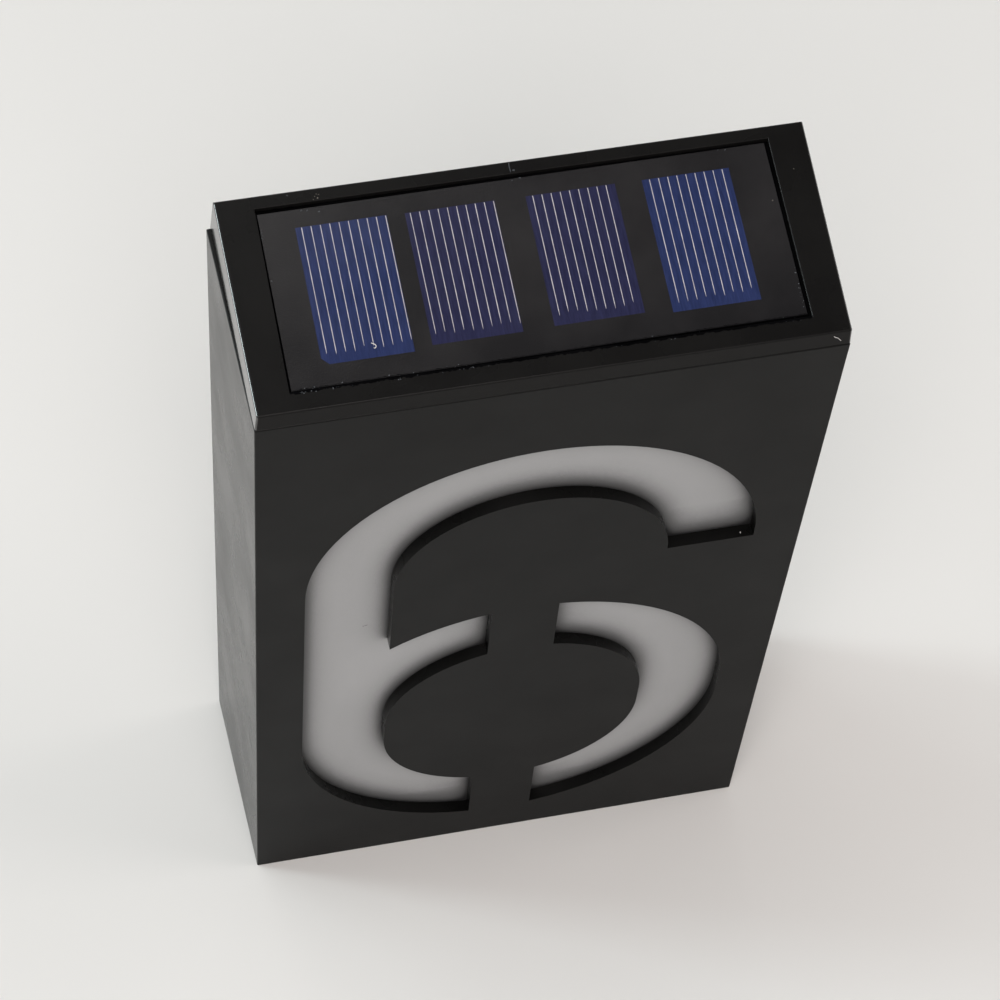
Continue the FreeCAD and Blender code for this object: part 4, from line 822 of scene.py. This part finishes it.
# -------------------------------------------------------------------- stage
FLOOR_REACH = 3.0
FLOOR_GAP = 0.03 * MM
FLOOR_WAVES = 3.0
FLOOR_DARK = (0.720, 0.714, 0.700)
FLOOR_LIGHT = (0.750, 0.746, 0.733)
FLOOR_ROUGH = 0.9
FLOOR_SPECULAR = 0.1


def floor():
    """A pale table a hair under the box's lower face, which leans by the draft."""
    rise = math.tan(DRAFT)
    corners = [
        (x * FLOOR_REACH, y * FLOOR_REACH, (HALF_DEPTH - y * FLOOR_REACH) * rise - FLOOR_GAP)
        for x, y in ((-1, -1), (1, -1), (1, 1), (-1, 1))
    ]
    mesh = bpy.data.meshes.new("floor")
    mesh.from_pydata(corners, [], [(0, 1, 2, 3)])
    table = bpy.data.objects.new("floor", mesh)
    bpy.context.scene.collection.objects.link(table)
    material, tree, shader = new_material("floor_paper")
    paper = tones(tree, noise(tree, FLOOR_WAVES), FLOOR_DARK, FLOOR_LIGHT, WIDE)
    tree.links.new(paper, shader.inputs["Base Color"])
    shader.inputs["Roughness"].default_value = FLOOR_ROUGH
    shader.inputs["Specular IOR Level"].default_value = FLOOR_SPECULAR
    mesh.materials.append(material)


LAMP_DISTANCE = 3.0
LAMP_AIM = Vector((0.0, 0.0, 0.1))


def lamp(name, azimuth, elevation, size, level, colour):
    """A soft lamp; azimuth turns from +X towards +Y, size is its width and height, and level
    is what it adds to a white surface that faces it."""
    light = bpy.data.lights.new(name, "AREA")
    light.shape = "RECTANGLE"
    light.size, light.size_y = size
    light.energy = level * (math.pi * LAMP_DISTANCE) ** 2
    light.color = colour
    thing = bpy.data.objects.new(name, light)
    turn, rise = math.radians(azimuth), math.radians(elevation)
    towards = Vector((
        math.cos(turn) * math.cos(rise), math.sin(turn) * math.cos(rise), math.sin(rise),
    ))
    thing.location = LAMP_AIM + towards * LAMP_DISTANCE
    thing.rotation_euler = (-towards).to_track_quat("-Z", "Y").to_euler()
    bpy.context.scene.collection.objects.link(thing)


# the room's light falls from the walls up to the ceiling and rises from its end in front of
# the box: the Z and Y of a direction between which it does so, and its levels and shares
ROOM_HEIGHTS, ROOM_LEVELS = (0.1, 0.8), (1.37, 0.0)
ROOM_DEPTHS, ROOM_SHARES = (-0.8, 0.1), (0.25, 1.0)
ROOM_COLOUR = (1.0, 1.0, 0.985)


def world():
    """A plain room: pale walls round the horizon, a black ceiling and a dim end in front."""
    scene = bpy.context.scene
    scene.world = bpy.data.worlds.new("room")
    scene.world.use_nodes = True
    tree = scene.world.node_tree
    back = next(n for n in tree.nodes if n.type == "BACKGROUND")
    place = tree.nodes.new("ShaderNodeTexCoord")
    parts = tree.nodes.new("ShaderNodeSeparateXYZ")
    tree.links.new(place.outputs["Generated"], parts.inputs["Vector"])
    rise = mapped(tree, parts.outputs["Z"], ROOM_HEIGHTS, ROOM_LEVELS)
    end = mapped(tree, parts.outputs["Y"], ROOM_DEPTHS, ROOM_SHARES)
    tree.links.new(product(tree, rise, end), back.inputs["Strength"])
    back.inputs["Color"].default_value = (*ROOM_COLOUR, 1.0)


CAMERA_AZIMUTH = math.radians(-17.518)
CAMERA_ELEVATION = math.radians(60.485)
CAMERA_ROLL = math.radians(6.705)
CAMERA_PLACE = (-121.04 * MM, -378.69 * MM, 833.36 * MM)
LENS = 126.3
SENSOR = 36.0
FAR_CLIP = 20.0


def camera():
    """The photograph's camera, solved from the box's edges."""
    back = Vector((
        math.sin(CAMERA_AZIMUTH) * math.cos(CAMERA_ELEVATION),
        -math.cos(CAMERA_AZIMUTH) * math.cos(CAMERA_ELEVATION),
        math.sin(CAMERA_ELEVATION),
    ))
    side = Vector((0, 0, 1)).cross(back).normalized()
    up = back.cross(side)
    turned_side = side * math.cos(CAMERA_ROLL) + up * math.sin(CAMERA_ROLL)
    turned_up = up * math.cos(CAMERA_ROLL) - side * math.sin(CAMERA_ROLL)
    lens = bpy.data.cameras.new("camera")
    lens.lens = LENS
    lens.sensor_width = SENSOR
    lens.clip_end = FAR_CLIP
    view = bpy.data.objects.new("camera", lens)
    turn = Matrix((turned_side, turned_up, back)).transposed()
    view.matrix_world = Matrix.Translation(CAMERA_PLACE) @ turn.to_4x4()
    bpy.context.scene.collection.objects.link(view)
    bpy.context.scene.camera = view


floor()
lamp("key", 150.0, 68.0, (0.8, 0.8), 0.155, (0.88, 0.975, 1.0))
lamp("back", 100.0, 60.0, (1.2, 1.2), 0.10, (1.0, 0.985, 0.96))
lamp("front", -107.0, 56.0, (1.8, 1.8), 0.66, (1.0, 0.945, 0.92))
lamp("side", -5.0, 45.0, (1.6, 1.6), 0.21, (1.0, 0.92, 0.89))
lamp("window", 160.0, 16.0, (0.5, 1.0), 0.37, (0.86, 0.98, 1.0))
world()
camera()
bpy.context.scene.view_settings.view_transform = "Standard"
